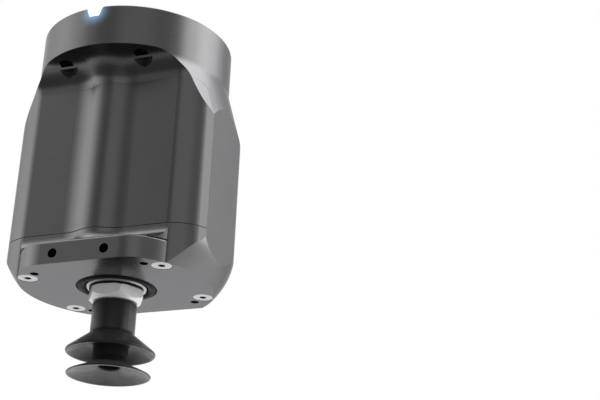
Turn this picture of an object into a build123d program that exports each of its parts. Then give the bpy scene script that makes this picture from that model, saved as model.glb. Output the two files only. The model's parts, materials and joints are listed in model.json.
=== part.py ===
"""Electric vacuum gripper with a bellows suction cup, modelled as separate pieces.

The origin is the centre of the top mounting face and +Z points up, out of that face.
The gripper hangs below it, with its sculpted front towards -Y. Lengths are millimetres.
"""

import os

from build123d import *

# --- Driving dimensions: housing -------------------------------------------------------
RING_R = 37.5  # mounting ring, a common 75 mm wrist flange
BODY_R = 43.3
SIDE_FLAT_X = 41.3
BOTTOM_Z = -100.7
RING_BOTTOM_Z = -19.0
SHOULDER_Z = -39.7
ROUNDING_Z = -88.0
ROUNDING_MID_R = 41.25
ROUNDING_MID_Z = -94.4
FLAT_R = 36.95  # edge of the flat underside, where the bottom rounding ends
WALL = 2.6
REAR_FLAT_Y = 36.0

CEILING_Z = -16.6  # roof of the front recess
RECESS_FILLET = 9.5  # deep cove between the wall and the roof
PANEL_Y = -21.2
RIDGE_Y = -24.15
RIDGE_END = (5.25, -22.94)  # where the rounded crest turns into the hollow foot
RIDGE_FOOT_X = 12.8
FACET_START_X = 30.5
FACET_END = (37.6, -18.2)
COVER_SCREWS = [(-8, -15), (8, -15)]
CORNER = (41.32, -12.6)  # crisp vertical edge between front cover and side wall
FACET_BENDS = (6.0, 12.0)
SEAM_Z = -85.5
SEAM_GAP = 0.25
COVER_TOP_Z = CEILING_Z - RECESS_FILLET

# --- Driving dimensions: mounting interface --------------------------------------------
FLANGE_BOLT_X = 16.0
FLANGE_BOLT_Y = 27.13  # with X gives a 63 mm bolt circle
FLANGE_HOLE_R = 2.7
SPOT_FACE_R = 4.3
SPOT_FACE_Z = -18.1
DOWEL_R = 3.0
DOWEL_X = 31.5
DOWEL_DEPTH = 7.0
LID_R = 25.5
LID_T = 3.0
LID_SCREW_R = 22.0
POCKET_R = 24.0
POCKET_Z = -13.6
LID_SCREW_COUNT = 3
CONTACT_Y = 11.0
CONTACT_SIZE = (22.0, 9.0)
BOARD_SCREW_R = 15.2
CABLE_PASSAGE_R = 4.5
LIGHT_TOP_W = 7.0
LIGHT_BOTTOM_W = 4.0
LIGHT_H = 4.0
LIGHT_BACK_Y = -33.5

# --- Driving dimensions: base ----------------------------------------------------------
BASE_R = 36.8
BASE_CLEARANCE = 0.05
BASE_FRONT_Y = -30.7
BASE_REAR_Y = 29.6
BASE_STEP_Z = -91.9  # ledge on top of the front boss
BASE_EDGE_R = 1.0
BASE_COVE_R = 5.4  # hollow between the ledge and the wall above it
BASE_FRONT_CORNER_R = 13.4
BASE_REAR_CORNER_R = 6.0
BASE_SCREW = (27.4, 18.2)
BASE_SCREW_SEAT_Z = -96.2
BASE_SCREW_R = 2.0
BASE_SCREW_HEAD_R = 3.8
LUG_R = 4.4
LUG_FRONT_Y = -20.5
LUG_GAP = 0.1
BRACKET_HOLE = 22.2
BRACKET_HOLE_R = 1.65
BRACKET_HOLE_DEPTH = 4.2
FRONT_HOLE_X = 10.4
FRONT_HOLE_Z = -96.8
FRONT_HOLE_R = 1.85
FRONT_HOLE_DEPTH = 8.0

# --- Driving dimensions: port, fitting and cup -----------------------------------------
COLLAR_R = 11.4
COLLAR_BORE_R = 8.3
COLLAR_TOP_Z = -92.7
COLLAR_FACE_Z = -101.3
SEAL_R = 13.4
SEAL_WIRE_R = 1.6
GROOVE_R = 15.2
GROOVE_TOP_Z = -98.2
HEX_ACROSS_FLATS = 19.0
HEX_CORNER_R = 11.2
HEX_TOP_Z = -101.9
HEX_BOTTOM_Z = -106.8
FITTING_BORE_R = 2.6
STEM_R = 5.0
BARB_R = 5.6
STEM_END_Z = -117.6
NECK_R = 8.3
NECK_TOP_Z = -106.9
NECK_END_Z = -118.2
SKIRT_R = 16.56
SKIRT_Z = -126.1
WAIST_R = 6.9
WAIST_Z = -129.4
LIP_R = 15.49
LIP_Z = -134.5

# --- Driving dimensions: pump ----------------------------------------------------------
PUMP_X = 14.0  # plane of the connecting rod
PUMP_Y = 7.0
PUMP_Z = -42.0
MOTOR_R = 12.5
MOTOR_LEFT_X = -31.0
MOTOR_RIGHT_X = -1.0
SHAFT_R = 1.5
BEARING_R = 4.0
BEARING_W = 2.5
CRANK_THROW = 0.8
CRANK_PIN_R = 2.5
CRANK_BEARING_R = 6.0
ROD_EYE_R = CRANK_BEARING_R + 2 * CRANK_THROW + 0.15
RUNNING_FIT = 0.03
PUMP_WIDTH = 25.0
PUMP_WALL = 2.5
PUMP_LEFT_X = PUMP_X - PUMP_WIDTH / 2
PUMP_RIGHT_X = PUMP_X + PUMP_WIDTH / 2
PUMP_TOP_Z = -29.5
CRANK_BORE_R = 10.5
DIAPHRAGM_TOP_Z = -56.0
DIAPHRAGM_T = 1.2
DIAPHRAGM_R = 8.5
VALVE_PLATE_T = 3.0
HEAD_T = 8.0
HEAD_SCREW = 10.2  # from the pump axis to each head screw, in X and Y
PORT_X = (8.0, 20.0)  # exhaust, suction
PORT_Z = -64.4
HOSE_R = 2.6
HOSE_BORE_R = 1.5
HOSE_Y = -12.5
HOSE_BEND_R = 4.0
NOZZLE_R = 1.45
NOZZLE_BORE_R = 0.8

# --- Driving dimensions: valves and boards ---------------------------------------------
BLOCK_HALF_X = 26.0
BLOCK_Y = (-17.6, 15.0)
BLOCK_TOP_Z = -73.5
BLOCK_SCREWS = [(-21, -12.5), (9, -13), (-22.5, 12), (23, 12)]
GALLERY_Z = -82.2
CHECK_VALVE = (20.0, -12.5)
CHECK_BORE_R = 3.6
CHECK_SEAT_Z = -80.5
CHECK_PLUG_Z = -75.5
RELEASE_VALVE = (-16.0, 2.0)
RELEASE_R = 8.2
RELEASE_TOP_Z = -57.4
CORE_END_Z = -61.5
PLUNGER_R = 3.0
PLUNGER_TOP_Z = -65.0
PLUNGER_END_Z = -72.6
BOARD_Y = 28.0
BOARD_T = 1.6
BOARD_HALF_X = 24.0
BOARD_Z = (-80.0, -40.0)
BOARD_HOLES = [(x, z) for x in (-20.5, 20.5) for z in (-76, -44)]

FAR = 60.0  # further out than any outline

os.makedirs("parts", exist_ok=True)


def save(builder, node):
    """Label a finished piece and write it as its own STEP file."""
    builder.part.label = node
    export_step(builder.part, f"parts/{node}.step")


def at_corners(x, y):
    """The four places of a rectangular pattern."""
    return [(sx * x, sy * y) for sy in (-1, 1) for sx in (-1, 1)]


def runs_along_wall(edge):
    """True for the edges of the front space that follow the front wall."""
    return edge.center().Y > RIDGE_Y - 1 and abs(edge.center().X) < FAR - 10


# --- Shared outlines -------------------------------------------------------------------
with BuildSketch(Plane.XZ) as outer_profile:
    with BuildLine():
        top = Polyline((0, 0), (RING_R - 0.5, 0), (RING_R, -0.5), (RING_R, RING_BOTTOM_Z + 3))
        shoulder = FilletPolyline(
            top @ 1,
            (RING_R, RING_BOTTOM_Z),
            (BODY_R, SHOULDER_Z),
            (BODY_R, SHOULDER_Z - 8),
            radius=(8, 5),
        )
        side = Line(shoulder @ 1, (BODY_R, ROUNDING_Z))
        rounding = ThreePointArc(side @ 1, (ROUNDING_MID_R, ROUNDING_MID_Z), (FLAT_R, BOTTOM_Z))
        Polyline(rounding @ 1, (0, BOTTOM_Z), (0, 0))
    make_face()

with BuildSketch(Plane.XZ) as inner_profile:
    with BuildLine():
        Polyline(
            (0, SEAM_Z),
            (BODY_R - WALL, SEAM_Z),
            (BODY_R - WALL, SHOULDER_Z - 1.5),
            (RING_R - WALL, -20.5),
            (0, -20.5),
            close=True,
        )
    make_face()

# The front wall seen from above: a rounded ridge, two flat panels, a facet and a corner.
with BuildSketch() as front_region:
    with BuildLine():
        crest = ThreePointArc((-RIDGE_END[0], RIDGE_END[1]), (0, RIDGE_Y), RIDGE_END)
        foot = TangentArc(crest @ 1, (RIDGE_FOOT_X, PANEL_Y), tangent=crest % 1)
        run_out = 1.1 * (CORNER[0] - FACET_END[0]), 1.1 * (CORNER[1] - FACET_END[1])
        outside = (CORNER[0] + run_out[0], CORNER[1] + run_out[1])
        panel = FilletPolyline(
            foot @ 1, (FACET_START_X, PANEL_Y), FACET_END, outside, radius=FACET_BENDS
        )
        beyond = Polyline(outside, (FAR, outside[1]), (FAR, -FAR), (0, -FAR))
        mirror(foot, about=Plane.YZ)
        mirror(panel, about=Plane.YZ)
        mirror(beyond, about=Plane.YZ)
    make_face()

with BuildSketch() as body_plan:
    Circle(BODY_R)
    add(front_region.sketch, mode=Mode.SUBTRACT)
    with Locations((0, REAR_FLAT_Y + FAR / 2)):
        Rectangle(2 * FAR, FAR, mode=Mode.SUBTRACT)
    Rectangle(2 * SIDE_FLAT_X, 2 * FAR, mode=Mode.INTERSECT)

with BuildSketch() as cavity_plan:
    add(body_plan.sketch)
    offset(amount=-WALL, kind=Kind.INTERSECTION)

with BuildSketch() as base_plan:
    Circle(BASE_R)
    with Locations((0, (BASE_FRONT_Y + BASE_REAR_Y) / 2)):
        Rectangle(2 * FAR, BASE_REAR_Y - BASE_FRONT_Y, mode=Mode.INTERSECT)
    fillet(base_plan.vertices().group_by(Axis.Y)[0], radius=BASE_FRONT_CORNER_R)
    fillet(base_plan.vertices().group_by(Axis.Y)[-1], radius=BASE_REAR_CORNER_R)

# The space in front of the wall. A cove runs along its roof and along its floor.
with BuildPart() as front_space:
    with BuildSketch(Plane.XY.offset(BOTTOM_Z - 5)):
        add(front_region.sketch)
    extrude(amount=CEILING_Z - BOTTOM_Z + 5)
    roof = front_space.faces().sort_by(Axis.Z)[-1]
    fillet(roof.edges().filter_by(runs_along_wall), radius=RECESS_FILLET)

with BuildPart() as boss_space:
    with BuildSketch(Plane.XY.offset(BASE_STEP_Z)):
        add(front_region.sketch)
    extrude(amount=SEAM_Z - BASE_STEP_Z + 1)
    floor = boss_space.faces().sort_by(Axis.Z)[0]
    fillet(floor.edges().filter_by(runs_along_wall), radius=BASE_COVE_R)

# The front wall strip that the cover takes out of the housing.
with BuildSketch() as cover_plan:
    add(body_plan.sketch)
    add(cavity_plan.sketch, mode=Mode.SUBTRACT)
    with Locations((0, CORNER[1] - FAR / 2)):
        Rectangle(2 * FAR, FAR, mode=Mode.INTERSECT)

# --- Housing -----------------------------------------------------------------------------
REAR_SHIFT = REAR_FLAT_Y - BODY_R
CAVITY_TOP_Z = -20.5
FRONT_ROOF_Z = COVER_TOP_Z  # inside, behind the recess
NICHE_R = 4.4
NICHE_BOTTOM_Z = -34.0

with BuildPart() as cavity:
    with BuildSketch(Plane.XY.offset(SEAM_Z)):
        add(cavity_plan.sketch)
    extrude(amount=CAVITY_TOP_Z - SEAM_Z)
    revolve(inner_profile.sketch, axis=Axis.Z, mode=Mode.INTERSECT)
    with BuildSketch(Plane.XY.offset(FRONT_ROOF_Z)):
        with Locations((0, -11.5 - FAR / 2)):
            Rectangle(2 * FAR, FAR)
    extrude(amount=CAVITY_TOP_Z - FRONT_ROOF_Z + 1, mode=Mode.SUBTRACT)
    with BuildSketch(Plane.XY.offset(NICHE_BOTTOM_Z - WALL)):
        for side_x in (-FLANGE_BOLT_X, FLANGE_BOLT_X):
            with Locations((side_x, FLANGE_BOLT_Y - NICHE_R - WALL + FAR / 2)):
                Rectangle(2 * (NICHE_R + WALL), FAR)
    extrude(amount=20, mode=Mode.SUBTRACT)

with BuildPart() as housing:
    revolve(outer_profile.sketch, axis=Axis.Z)
    with BuildSketch(Plane.YZ):
        with BuildLine():
            rear = Line((REAR_FLAT_Y, RING_BOTTOM_Z - 3), (REAR_FLAT_Y, ROUNDING_Z))
            curl = ThreePointArc(
                rear @ 1, (ROUNDING_MID_R + REAR_SHIFT, ROUNDING_MID_Z), (FLAT_R + REAR_SHIFT, BOTTOM_Z)
            )
            Polyline(
                curl @ 1,
                (FLAT_R + REAR_SHIFT, BOTTOM_Z - 5),
                (FAR, BOTTOM_Z - 5),
                (FAR, RING_BOTTOM_Z - 3),
                rear @ 0,
            )
        make_face()
    extrude(amount=FAR, both=True, mode=Mode.SUBTRACT)
    # flat sides, whose upper ends cut into the conical shoulder
    with BuildSketch(Plane.XY.offset(BOTTOM_Z)):
        Rectangle(2 * SIDE_FLAT_X, 2 * FAR)
    extrude(amount=-BOTTOM_Z, mode=Mode.INTERSECT)
    add(front_space.part, mode=Mode.SUBTRACT)
    # screw holes through the flange, each with a spot face for its head
    with BuildSketch(Plane.XY.offset(SPOT_FACE_Z)):
        with Locations(*at_corners(FLANGE_BOLT_X, FLANGE_BOLT_Y)):
            Circle(SPOT_FACE_R)
    extrude(amount=-10, mode=Mode.SUBTRACT)
    with BuildSketch():
        with Locations(*at_corners(FLANGE_BOLT_X, FLANGE_BOLT_Y)):
            Circle(FLANGE_HOLE_R)
    extrude(amount=CEILING_Z - 1, mode=Mode.SUBTRACT)
    # rear niches give the driver a way to the two rear flange screws
    with BuildSketch(Plane.XZ.offset(-(FLANGE_BOLT_Y - NICHE_R))):
        for side_x in (-FLANGE_BOLT_X, FLANGE_BOLT_X):
            niche_h = CEILING_Z - NICHE_BOTTOM_Z - NICHE_R
            with Locations((side_x, CEILING_Z - niche_h / 2)):
                Rectangle(2 * NICHE_R, niche_h)
            with Locations((side_x, NICHE_BOTTOM_Z + NICHE_R)):
                Circle(NICHE_R)
    extrude(amount=-FAR, mode=Mode.SUBTRACT)
    add(cavity.part, mode=Mode.SUBTRACT)
    # window for the front cover, opening for the base
    with BuildSketch(Plane.XY.offset(SEAM_Z)):
        add(cover_plan.sketch)
    extrude(amount=COVER_TOP_Z - SEAM_Z, mode=Mode.SUBTRACT)
    with BuildSketch(Plane.XY.offset(BOTTOM_Z - 1)):
        add(base_plan.sketch)
        offset(amount=BASE_CLEARANCE, kind=Kind.INTERSECTION)
    extrude(amount=SEAM_Z - BOTTOM_Z + 1, mode=Mode.SUBTRACT)
    # lugs that take the base screws
    with BuildSketch(Plane.XY.offset(BASE_SCREW_SEAT_Z)):
        with Locations(*at_corners(*BASE_SCREW)):
            Circle(LUG_R)
        with Locations((0, LUG_FRONT_Y + FAR / 2)):
            Rectangle(2 * FAR, FAR, mode=Mode.INTERSECT)
        Circle(BODY_R - 3, mode=Mode.INTERSECT)
    extrude(amount=SEAM_Z - BASE_SCREW_SEAT_Z)
    with BuildSketch(Plane.XY.offset(BASE_SCREW_SEAT_Z)):
        with Locations(*at_corners(*BASE_SCREW)):
            Circle(BASE_SCREW_R + BASE_CLEARANCE)
    extrude(amount=SEAM_Z - BASE_SCREW_SEAT_Z, mode=Mode.SUBTRACT)
    # electronics pocket under the lid, with its pads, and the cable passage below it
    with BuildSketch():
        Circle(LID_R + BASE_CLEARANCE)
    extrude(amount=-LID_T, mode=Mode.SUBTRACT)
    with BuildSketch(Plane.XY.offset(-LID_T)):
        Circle(POCKET_R)
        with PolarLocations(LID_SCREW_R, LID_SCREW_COUNT, start_angle=-30):
            Circle(3, mode=Mode.SUBTRACT)
    extrude(amount=POCKET_Z + LID_T, mode=Mode.SUBTRACT)
    with BuildSketch(Plane.XY.offset(-LID_T)):
        with PolarLocations(LID_SCREW_R, LID_SCREW_COUNT, start_angle=-30):
            Circle(1.3)
    extrude(amount=-8, mode=Mode.SUBTRACT)
    with BuildSketch(Plane.XY.offset(POCKET_Z)):
        with PolarLocations(BOARD_SCREW_R, 3, start_angle=30):
            Circle(2.4)
            Circle(1.05, mode=Mode.SUBTRACT)
    extrude(amount=4)
    with BuildSketch(Plane.XY.offset(POCKET_Z)):
        with Locations((0, 14)):
            Circle(CABLE_PASSAGE_R)
    extrude(amount=-10, mode=Mode.SUBTRACT)
    # status light window and the channel behind it
    with BuildSketch(Plane.XZ.offset(-LIGHT_BACK_Y)) as light_shape:
        with BuildLine():
            Polyline(
                (-LIGHT_TOP_W / 2, 0),
                (LIGHT_TOP_W / 2, 0),
                (LIGHT_BOTTOM_W / 2, -LIGHT_H),
                (-LIGHT_BOTTOM_W / 2, -LIGHT_H),
                close=True,
            )
        make_face()
    extrude(amount=8, mode=Mode.SUBTRACT)
    with BuildSketch(Plane.XZ.offset(-LIGHT_BACK_Y)):
        with Locations((0, -4.2)):
            Rectangle(9, 5.6)
    extrude(amount=-11, mode=Mode.SUBTRACT)
    with Locations((DOWEL_X, 0, 0)):
        Hole(DOWEL_R, depth=DOWEL_DEPTH)
    # air vents low in the rear flat
    with BuildSketch(Plane.XZ.offset(-REAR_FLAT_Y - 1)):
        with Locations(*[(0, -52 - 5 * row) for row in range(4)]):
            SlotOverall(22, 2.2)
    extrude(amount=WALL + 2, mode=Mode.SUBTRACT)
    # tapped holes for the cover tab
    with BuildSketch(Plane.XY.offset(FRONT_ROOF_Z)):
        with Locations(*COVER_SCREWS):
            Circle(1.3)
    extrude(amount=6, mode=Mode.SUBTRACT)
save(housing, "housing")

# --- Front cover -------------------------------------------------------------------------
TAB_T = 2.4

with BuildPart() as front_cover:
    with BuildSketch(Plane.XY.offset(SEAM_Z + SEAM_GAP)):
        add(cover_plan.sketch)
    extrude(amount=COVER_TOP_Z - SEAM_Z - SEAM_GAP)
    with BuildSketch(Plane.XY.offset(FRONT_ROOF_Z)):
        add(body_plan.sketch)
        with Locations((0, -17.5)):
            Rectangle(24, 13, mode=Mode.INTERSECT)
    extrude(amount=-TAB_T)
    revolve(outer_profile.sketch, axis=Axis.Z, mode=Mode.INTERSECT)
    with BuildSketch(Plane.XY.offset(FRONT_ROOF_Z)):
        with Locations(*COVER_SCREWS):
            Circle(1.35)
    extrude(amount=-TAB_T, mode=Mode.SUBTRACT)
save(front_cover, "front_cover")

with BuildPart() as cover_screws:
    with BuildSketch(Plane.XY.offset(FRONT_ROOF_Z - TAB_T)):
        with Locations(*COVER_SCREWS):
            Circle(1.25)
    extrude(amount=7)
    with BuildSketch(Plane.XY.offset(FRONT_ROOF_Z - TAB_T)):
        with Locations(*COVER_SCREWS):
            Circle(2.3)
    extrude(amount=-1.6)
    with BuildSketch(Plane.XY.offset(FRONT_ROOF_Z - TAB_T - 1.6)):
        with Locations(*COVER_SCREWS):
            RegularPolygon(1.1, 6)
    extrude(amount=1, mode=Mode.SUBTRACT)
save(cover_screws, "cover_screws")

# --- Base ----------------------------------------------------------------------------------
PORT_SEAT_R = 9.05
PORT_SEAT_Z = -90.6
PORT_CORE_R = 3.0

# above the ledge of the base, a cove leads up to the wall and its ridge
with BuildPart() as base_core:
    with BuildSketch(Plane.XY.offset(BASE_STEP_Z)):
        add(base_plan.sketch)
    extrude(amount=SEAM_Z - BASE_STEP_Z)
    add(boss_space.part, mode=Mode.SUBTRACT)

with BuildPart() as base_manifold:
    with BuildSketch(Plane.XY.offset(BOTTOM_Z)):
        add(base_plan.sketch)
    extrude(amount=BASE_STEP_Z - BOTTOM_Z)
    ledge = base_manifold.faces().sort_by(Axis.Z)[-1]
    front_edges = ledge.edges().filter_by(lambda edge: edge.center().Y < PANEL_Y - 5)
    fillet(front_edges, radius=BASE_EDGE_R)
    add(base_core.part)
    # notches for the housing lugs, and the countersunk screw holes
    with BuildSketch(Plane.XY.offset(BASE_SCREW_SEAT_Z)):
        with Locations(*at_corners(*BASE_SCREW)):
            Circle(LUG_R + LUG_GAP)
        with Locations((0, LUG_FRONT_Y - LUG_GAP + FAR / 2)):
            Rectangle(2 * FAR, FAR, mode=Mode.INTERSECT)
    extrude(amount=SEAM_Z - BASE_SCREW_SEAT_Z + 1, mode=Mode.SUBTRACT)
    with Locations(Plane(origin=(0, 0, BOTTOM_Z), z_dir=(0, 0, -1))):
        with Locations(*at_corners(*BASE_SCREW)):
            CounterSinkHole(
                BASE_SCREW_R + BASE_CLEARANCE,
                BASE_SCREW_HEAD_R + 0.2,
                depth=10,
                counter_sink_angle=90,
            )
        with Locations(*at_corners(BRACKET_HOLE, BRACKET_HOLE)):
            Hole(BRACKET_HOLE_R, depth=BRACKET_HOLE_DEPTH)
    with BuildSketch(Plane.XZ.offset(-BASE_FRONT_Y)):
        with Locations((-FRONT_HOLE_X, FRONT_HOLE_Z), (FRONT_HOLE_X, FRONT_HOLE_Z)):
            Circle(FRONT_HOLE_R)
    extrude(amount=-FRONT_HOLE_DEPTH, mode=Mode.SUBTRACT)
    # the port: seal groove, collar bore, filter seat and the air passage above them
    with BuildSketch(Plane.XZ):
        with BuildLine():
            Polyline(
                (0, BOTTOM_Z - 1),
                (GROOVE_R, BOTTOM_Z - 1),
                (GROOVE_R, GROOVE_TOP_Z),
                (COLLAR_R + BASE_CLEARANCE, GROOVE_TOP_Z),
                (COLLAR_R + BASE_CLEARANCE, COLLAR_TOP_Z),
                (PORT_SEAT_R, COLLAR_TOP_Z),
                (PORT_SEAT_R, PORT_SEAT_Z),
                (PORT_SEAT_R - 2, PORT_SEAT_Z),
                (PORT_CORE_R, PORT_SEAT_Z + 3.5),
                (PORT_CORE_R, SEAM_Z + 1),
                (0, SEAM_Z + 1),
                close=True,
            )
        make_face()
    revolve(axis=Axis.Z, mode=Mode.SUBTRACT)
    with BuildSketch(Plane.XY.offset(SEAM_Z)):
        with Locations(*BLOCK_SCREWS):
            Circle(1.55)
    extrude(amount=-6, mode=Mode.SUBTRACT)
save(base_manifold, "base_manifold")

with BuildPart() as base_screws:
    for x, y in at_corners(*BASE_SCREW):
        with BuildSketch(Plane.XZ.offset(-y)):
            with BuildLine():
                Polyline(
                    (x, BOTTOM_Z + 0.1),
                    (x + BASE_SCREW_HEAD_R, BOTTOM_Z + 0.1),
                    (x + BASE_SCREW_R, BOTTOM_Z + 0.1 + BASE_SCREW_HEAD_R - BASE_SCREW_R),
                    (x + BASE_SCREW_R, SEAM_Z - 0.5),
                    (x, SEAM_Z - 0.5),
                    close=True,
                )
            make_face()
        revolve(axis=Axis((x, y, 0), (0, 0, 1)))
    with BuildSketch(Plane.XY.offset(BOTTOM_Z + 0.1)):
        with Locations(*at_corners(*BASE_SCREW)):
            RegularPolygon(1.45, 6)
    extrude(amount=1.6, mode=Mode.SUBTRACT)
save(base_screws, "base_screws")

# --- Port, fitting and suction cup ------------------------------------------------------------
with BuildPart() as port_seal_ring:
    with BuildSketch(Plane.XZ):
        with Locations((SEAL_R, GROOVE_TOP_Z - SEAL_WIRE_R)):
            Circle(SEAL_WIRE_R)
    revolve(axis=Axis.Z)
save(port_seal_ring, "port_seal_ring")

with BuildPart() as port_collar:
    with BuildSketch(Plane.XZ):
        with BuildLine():
            Polyline(
                (COLLAR_BORE_R, COLLAR_TOP_Z),
                (COLLAR_R, COLLAR_TOP_Z),
                (COLLAR_R, COLLAR_FACE_Z + 0.5),
                (COLLAR_R - 0.5, COLLAR_FACE_Z),
                (COLLAR_BORE_R + 0.4, COLLAR_FACE_Z),
                (COLLAR_BORE_R, COLLAR_FACE_Z + 0.4),
                close=True,
            )
        make_face()
    revolve(axis=Axis.Z)
save(port_collar, "port_collar")

with BuildPart() as fitting_seal_washer:
    with BuildSketch(Plane.XY.offset(COLLAR_FACE_Z)):
        Circle(10.2)
        Circle(COLLAR_BORE_R + 0.05, mode=Mode.SUBTRACT)
    extrude(amount=HEX_TOP_Z - COLLAR_FACE_Z)
save(fitting_seal_washer, "fitting_seal_washer")

with BuildPart() as hex_fitting:
    with BuildSketch(Plane.XY.offset(HEX_BOTTOM_Z)):
        RegularPolygon(HEX_ACROSS_FLATS / 2, 6, major_radius=False, rotation=6)
    extrude(amount=HEX_TOP_Z - HEX_BOTTOM_Z)
    with BuildSketch(Plane.XZ):
        with BuildLine():
            Polyline(
                (0, HEX_TOP_Z),
                (HEX_CORNER_R - 1.2, HEX_TOP_Z),
                (HEX_CORNER_R, HEX_TOP_Z - 0.7),
                (HEX_CORNER_R, HEX_BOTTOM_Z + 2.2),
                (NECK_R + 0.3, HEX_BOTTOM_Z),
                (0, HEX_BOTTOM_Z),
                close=True,
            )
        make_face()
    revolve(axis=Axis.Z, mode=Mode.INTERSECT)
    with BuildSketch(Plane.XZ):
        with BuildLine():
            Polyline(
                (0, COLLAR_TOP_Z - 1),
                (COLLAR_BORE_R - 0.8, COLLAR_TOP_Z - 1),
                (COLLAR_BORE_R - 0.1, COLLAR_TOP_Z - 1.7),
                (COLLAR_BORE_R - 0.1, HEX_TOP_Z),
                (0, HEX_TOP_Z),
                close=True,
            )
        make_face()
    revolve(axis=Axis.Z)
    with BuildSketch(Plane.XZ):
        with BuildLine():
            barb_h = 3.0
            Polyline(
                (0, HEX_BOTTOM_Z),
                (STEM_R, HEX_BOTTOM_Z),
                (STEM_R, STEM_END_Z + 2 * barb_h),
                (BARB_R, STEM_END_Z + 2 * barb_h - 0.4),
                (STEM_R, STEM_END_Z + barb_h),
                (BARB_R, STEM_END_Z + barb_h - 0.4),
                (STEM_R - 0.5, STEM_END_Z),
                (0, STEM_END_Z),
                close=True,
            )
        make_face()
    revolve(axis=Axis.Z)
    with BuildSketch(Plane.XY.offset(STEM_END_Z)):
        Circle(FITTING_BORE_R)
    extrude(amount=COLLAR_TOP_Z - STEM_END_Z, mode=Mode.SUBTRACT)
save(hex_fitting, "hex_fitting")

with BuildPart() as inlet_filter_screen:
    with BuildSketch(Plane.XY.offset(PORT_SEAT_Z - 0.6)):
        Circle(PORT_SEAT_R - 0.05)
        with GridLocations(1.6, 1.6, 7, 7):
            Rectangle(1.0, 1.0, mode=Mode.SUBTRACT)
    extrude(amount=0.6)
save(inlet_filter_screen, "inlet_filter_screen")

with BuildPart() as filter_retaining_ring:
    with BuildSketch(Plane.XY.offset(COLLAR_TOP_Z + 0.1)):
        Circle(PORT_SEAT_R - 0.05)
        Circle(PORT_SEAT_R - 1.6, mode=Mode.SUBTRACT)
        with Locations((0, -PORT_SEAT_R)):
            Rectangle(2.4, 4, mode=Mode.SUBTRACT)
    extrude(amount=1.3)
save(filter_retaining_ring, "filter_retaining_ring")

CUP_T = 1.3

with BuildPart() as suction_cup_bellows:
    with BuildSketch(Plane.XZ):
        with BuildLine():
            neck = FilletPolyline(
                (BARB_R + 0.1, NECK_TOP_Z),
                (NECK_R, NECK_TOP_Z),
                (NECK_R, NECK_END_Z),
                (SKIRT_R - 0.3, SKIRT_Z + 0.9),
                radius=(0.8, 0.5),
            )
            rim = ThreePointArc(neck @ 1, (SKIRT_R, SKIRT_Z + 0.2), (SKIRT_R - 0.5, SKIRT_Z - 0.3))
            under = Spline(
                rim @ 1,
                (11.0, SKIRT_Z - 1.0),
                (WAIST_R, WAIST_Z),
                tangents=((-1, 0.05), (-0.15, -1)),
            )
            Polyline(
                under @ 1,
                (WAIST_R - CUP_T, WAIST_Z),
                (WAIST_R - CUP_T, SKIRT_Z - 0.2),
                (SKIRT_R - 2.4, SKIRT_Z + 0.7),
                (BARB_R + 0.1, NECK_END_Z - 0.4),
                neck @ 0,
            )
        make_face()
    revolve(axis=Axis.Z)
save(suction_cup_bellows, "suction_cup_bellows")

LIP_TOP_Z = WAIST_Z - 0.1

with BuildPart() as suction_cup_lip:
    with BuildSketch(Plane.XZ):
        with BuildLine():
            flare = Spline(
                (WAIST_R, LIP_TOP_Z),
                (10.2, LIP_TOP_Z - 1.9),
                (LIP_R - 0.1, LIP_Z + 0.5),
                tangents=((0.25, -1), (1, -0.45)),
            )
            edge = ThreePointArc(flare @ 1, (LIP_R, LIP_Z + 0.2), (LIP_R - 0.3, LIP_Z))
            Polyline(
                edge @ 1,
                (LIP_R - 0.9, LIP_Z),
                (LIP_R - 2.2, LIP_Z + 0.5),
                (WAIST_R - 0.4, LIP_TOP_Z - 2.1),
                (WAIST_R - CUP_T, LIP_TOP_Z - 1.6),
                (WAIST_R - CUP_T, LIP_TOP_Z),
                (WAIST_R, LIP_TOP_Z),
            )
        make_face()
    revolve(axis=Axis.Z)
save(suction_cup_lip, "suction_cup_lip")

# --- Top interface ------------------------------------------------------------------------------
PIN_PITCH = 3.2
PIN_R = 0.6
PIN_TIP_Z = -0.2
BOARD_TOP_Z = -8.0

with BuildPart() as top_lid:
    with BuildSketch(Plane.XY.offset(-LID_T)):
        Circle(LID_R)
        with Locations((0, CONTACT_Y)):
            RectangleRounded(CONTACT_SIZE[0] + 0.4, CONTACT_SIZE[1] + 0.4, 1.7)
    extrude(amount=LID_T)
    with BuildSketch(Plane.XY.offset(-LID_T)):
        with Locations((0, CONTACT_Y)):
            RectangleRounded(CONTACT_SIZE[0] + 0.4, CONTACT_SIZE[1] + 0.4, 1.7)
    extrude(amount=LID_T, mode=Mode.SUBTRACT)
    with PolarLocations(LID_SCREW_R, LID_SCREW_COUNT, start_angle=-30):
        CounterSinkHole(1.3, 2.6, depth=LID_T + 1, counter_sink_angle=90)
save(top_lid, "top_lid")

with BuildPart() as lid_screws:
    with BuildSketch(Plane.XY.offset(-8)):
        with PolarLocations(LID_SCREW_R, LID_SCREW_COUNT, start_angle=-30):
            Circle(1.25)
    extrude(amount=7.9)
    for place in PolarLocations(LID_SCREW_R, LID_SCREW_COUNT, start_angle=-30):
        with Locations(place):
            with Locations((0, 0, -0.7)):
                Cone(1.25, 2.4, 1.15)
    with BuildSketch(Plane.XY.offset(-1.3)):
        with PolarLocations(LID_SCREW_R, LID_SCREW_COUNT, start_angle=-30):
            RegularPolygon(0.9, 6)
    extrude(amount=2, mode=Mode.SUBTRACT)
save(lid_screws, "lid_screws")


def pin_grid():
    """The two rows of sprung contacts."""
    return GridLocations(PIN_PITCH, PIN_PITCH, 5, 2)


with BuildPart() as contact_block:
    with BuildSketch(Plane.XY.offset(BOARD_TOP_Z)):
        with Locations((0, CONTACT_Y)):
            RectangleRounded(*CONTACT_SIZE, 1.5)
    extrude(amount=-1 - BOARD_TOP_Z)
    with BuildSketch(Plane.XY.offset(BOARD_TOP_Z)):
        with Locations((0, CONTACT_Y)):
            with pin_grid():
                Circle(PIN_R + 0.05)
    extrude(amount=-BOARD_TOP_Z, mode=Mode.SUBTRACT)
save(contact_block, "contact_block")

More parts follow.
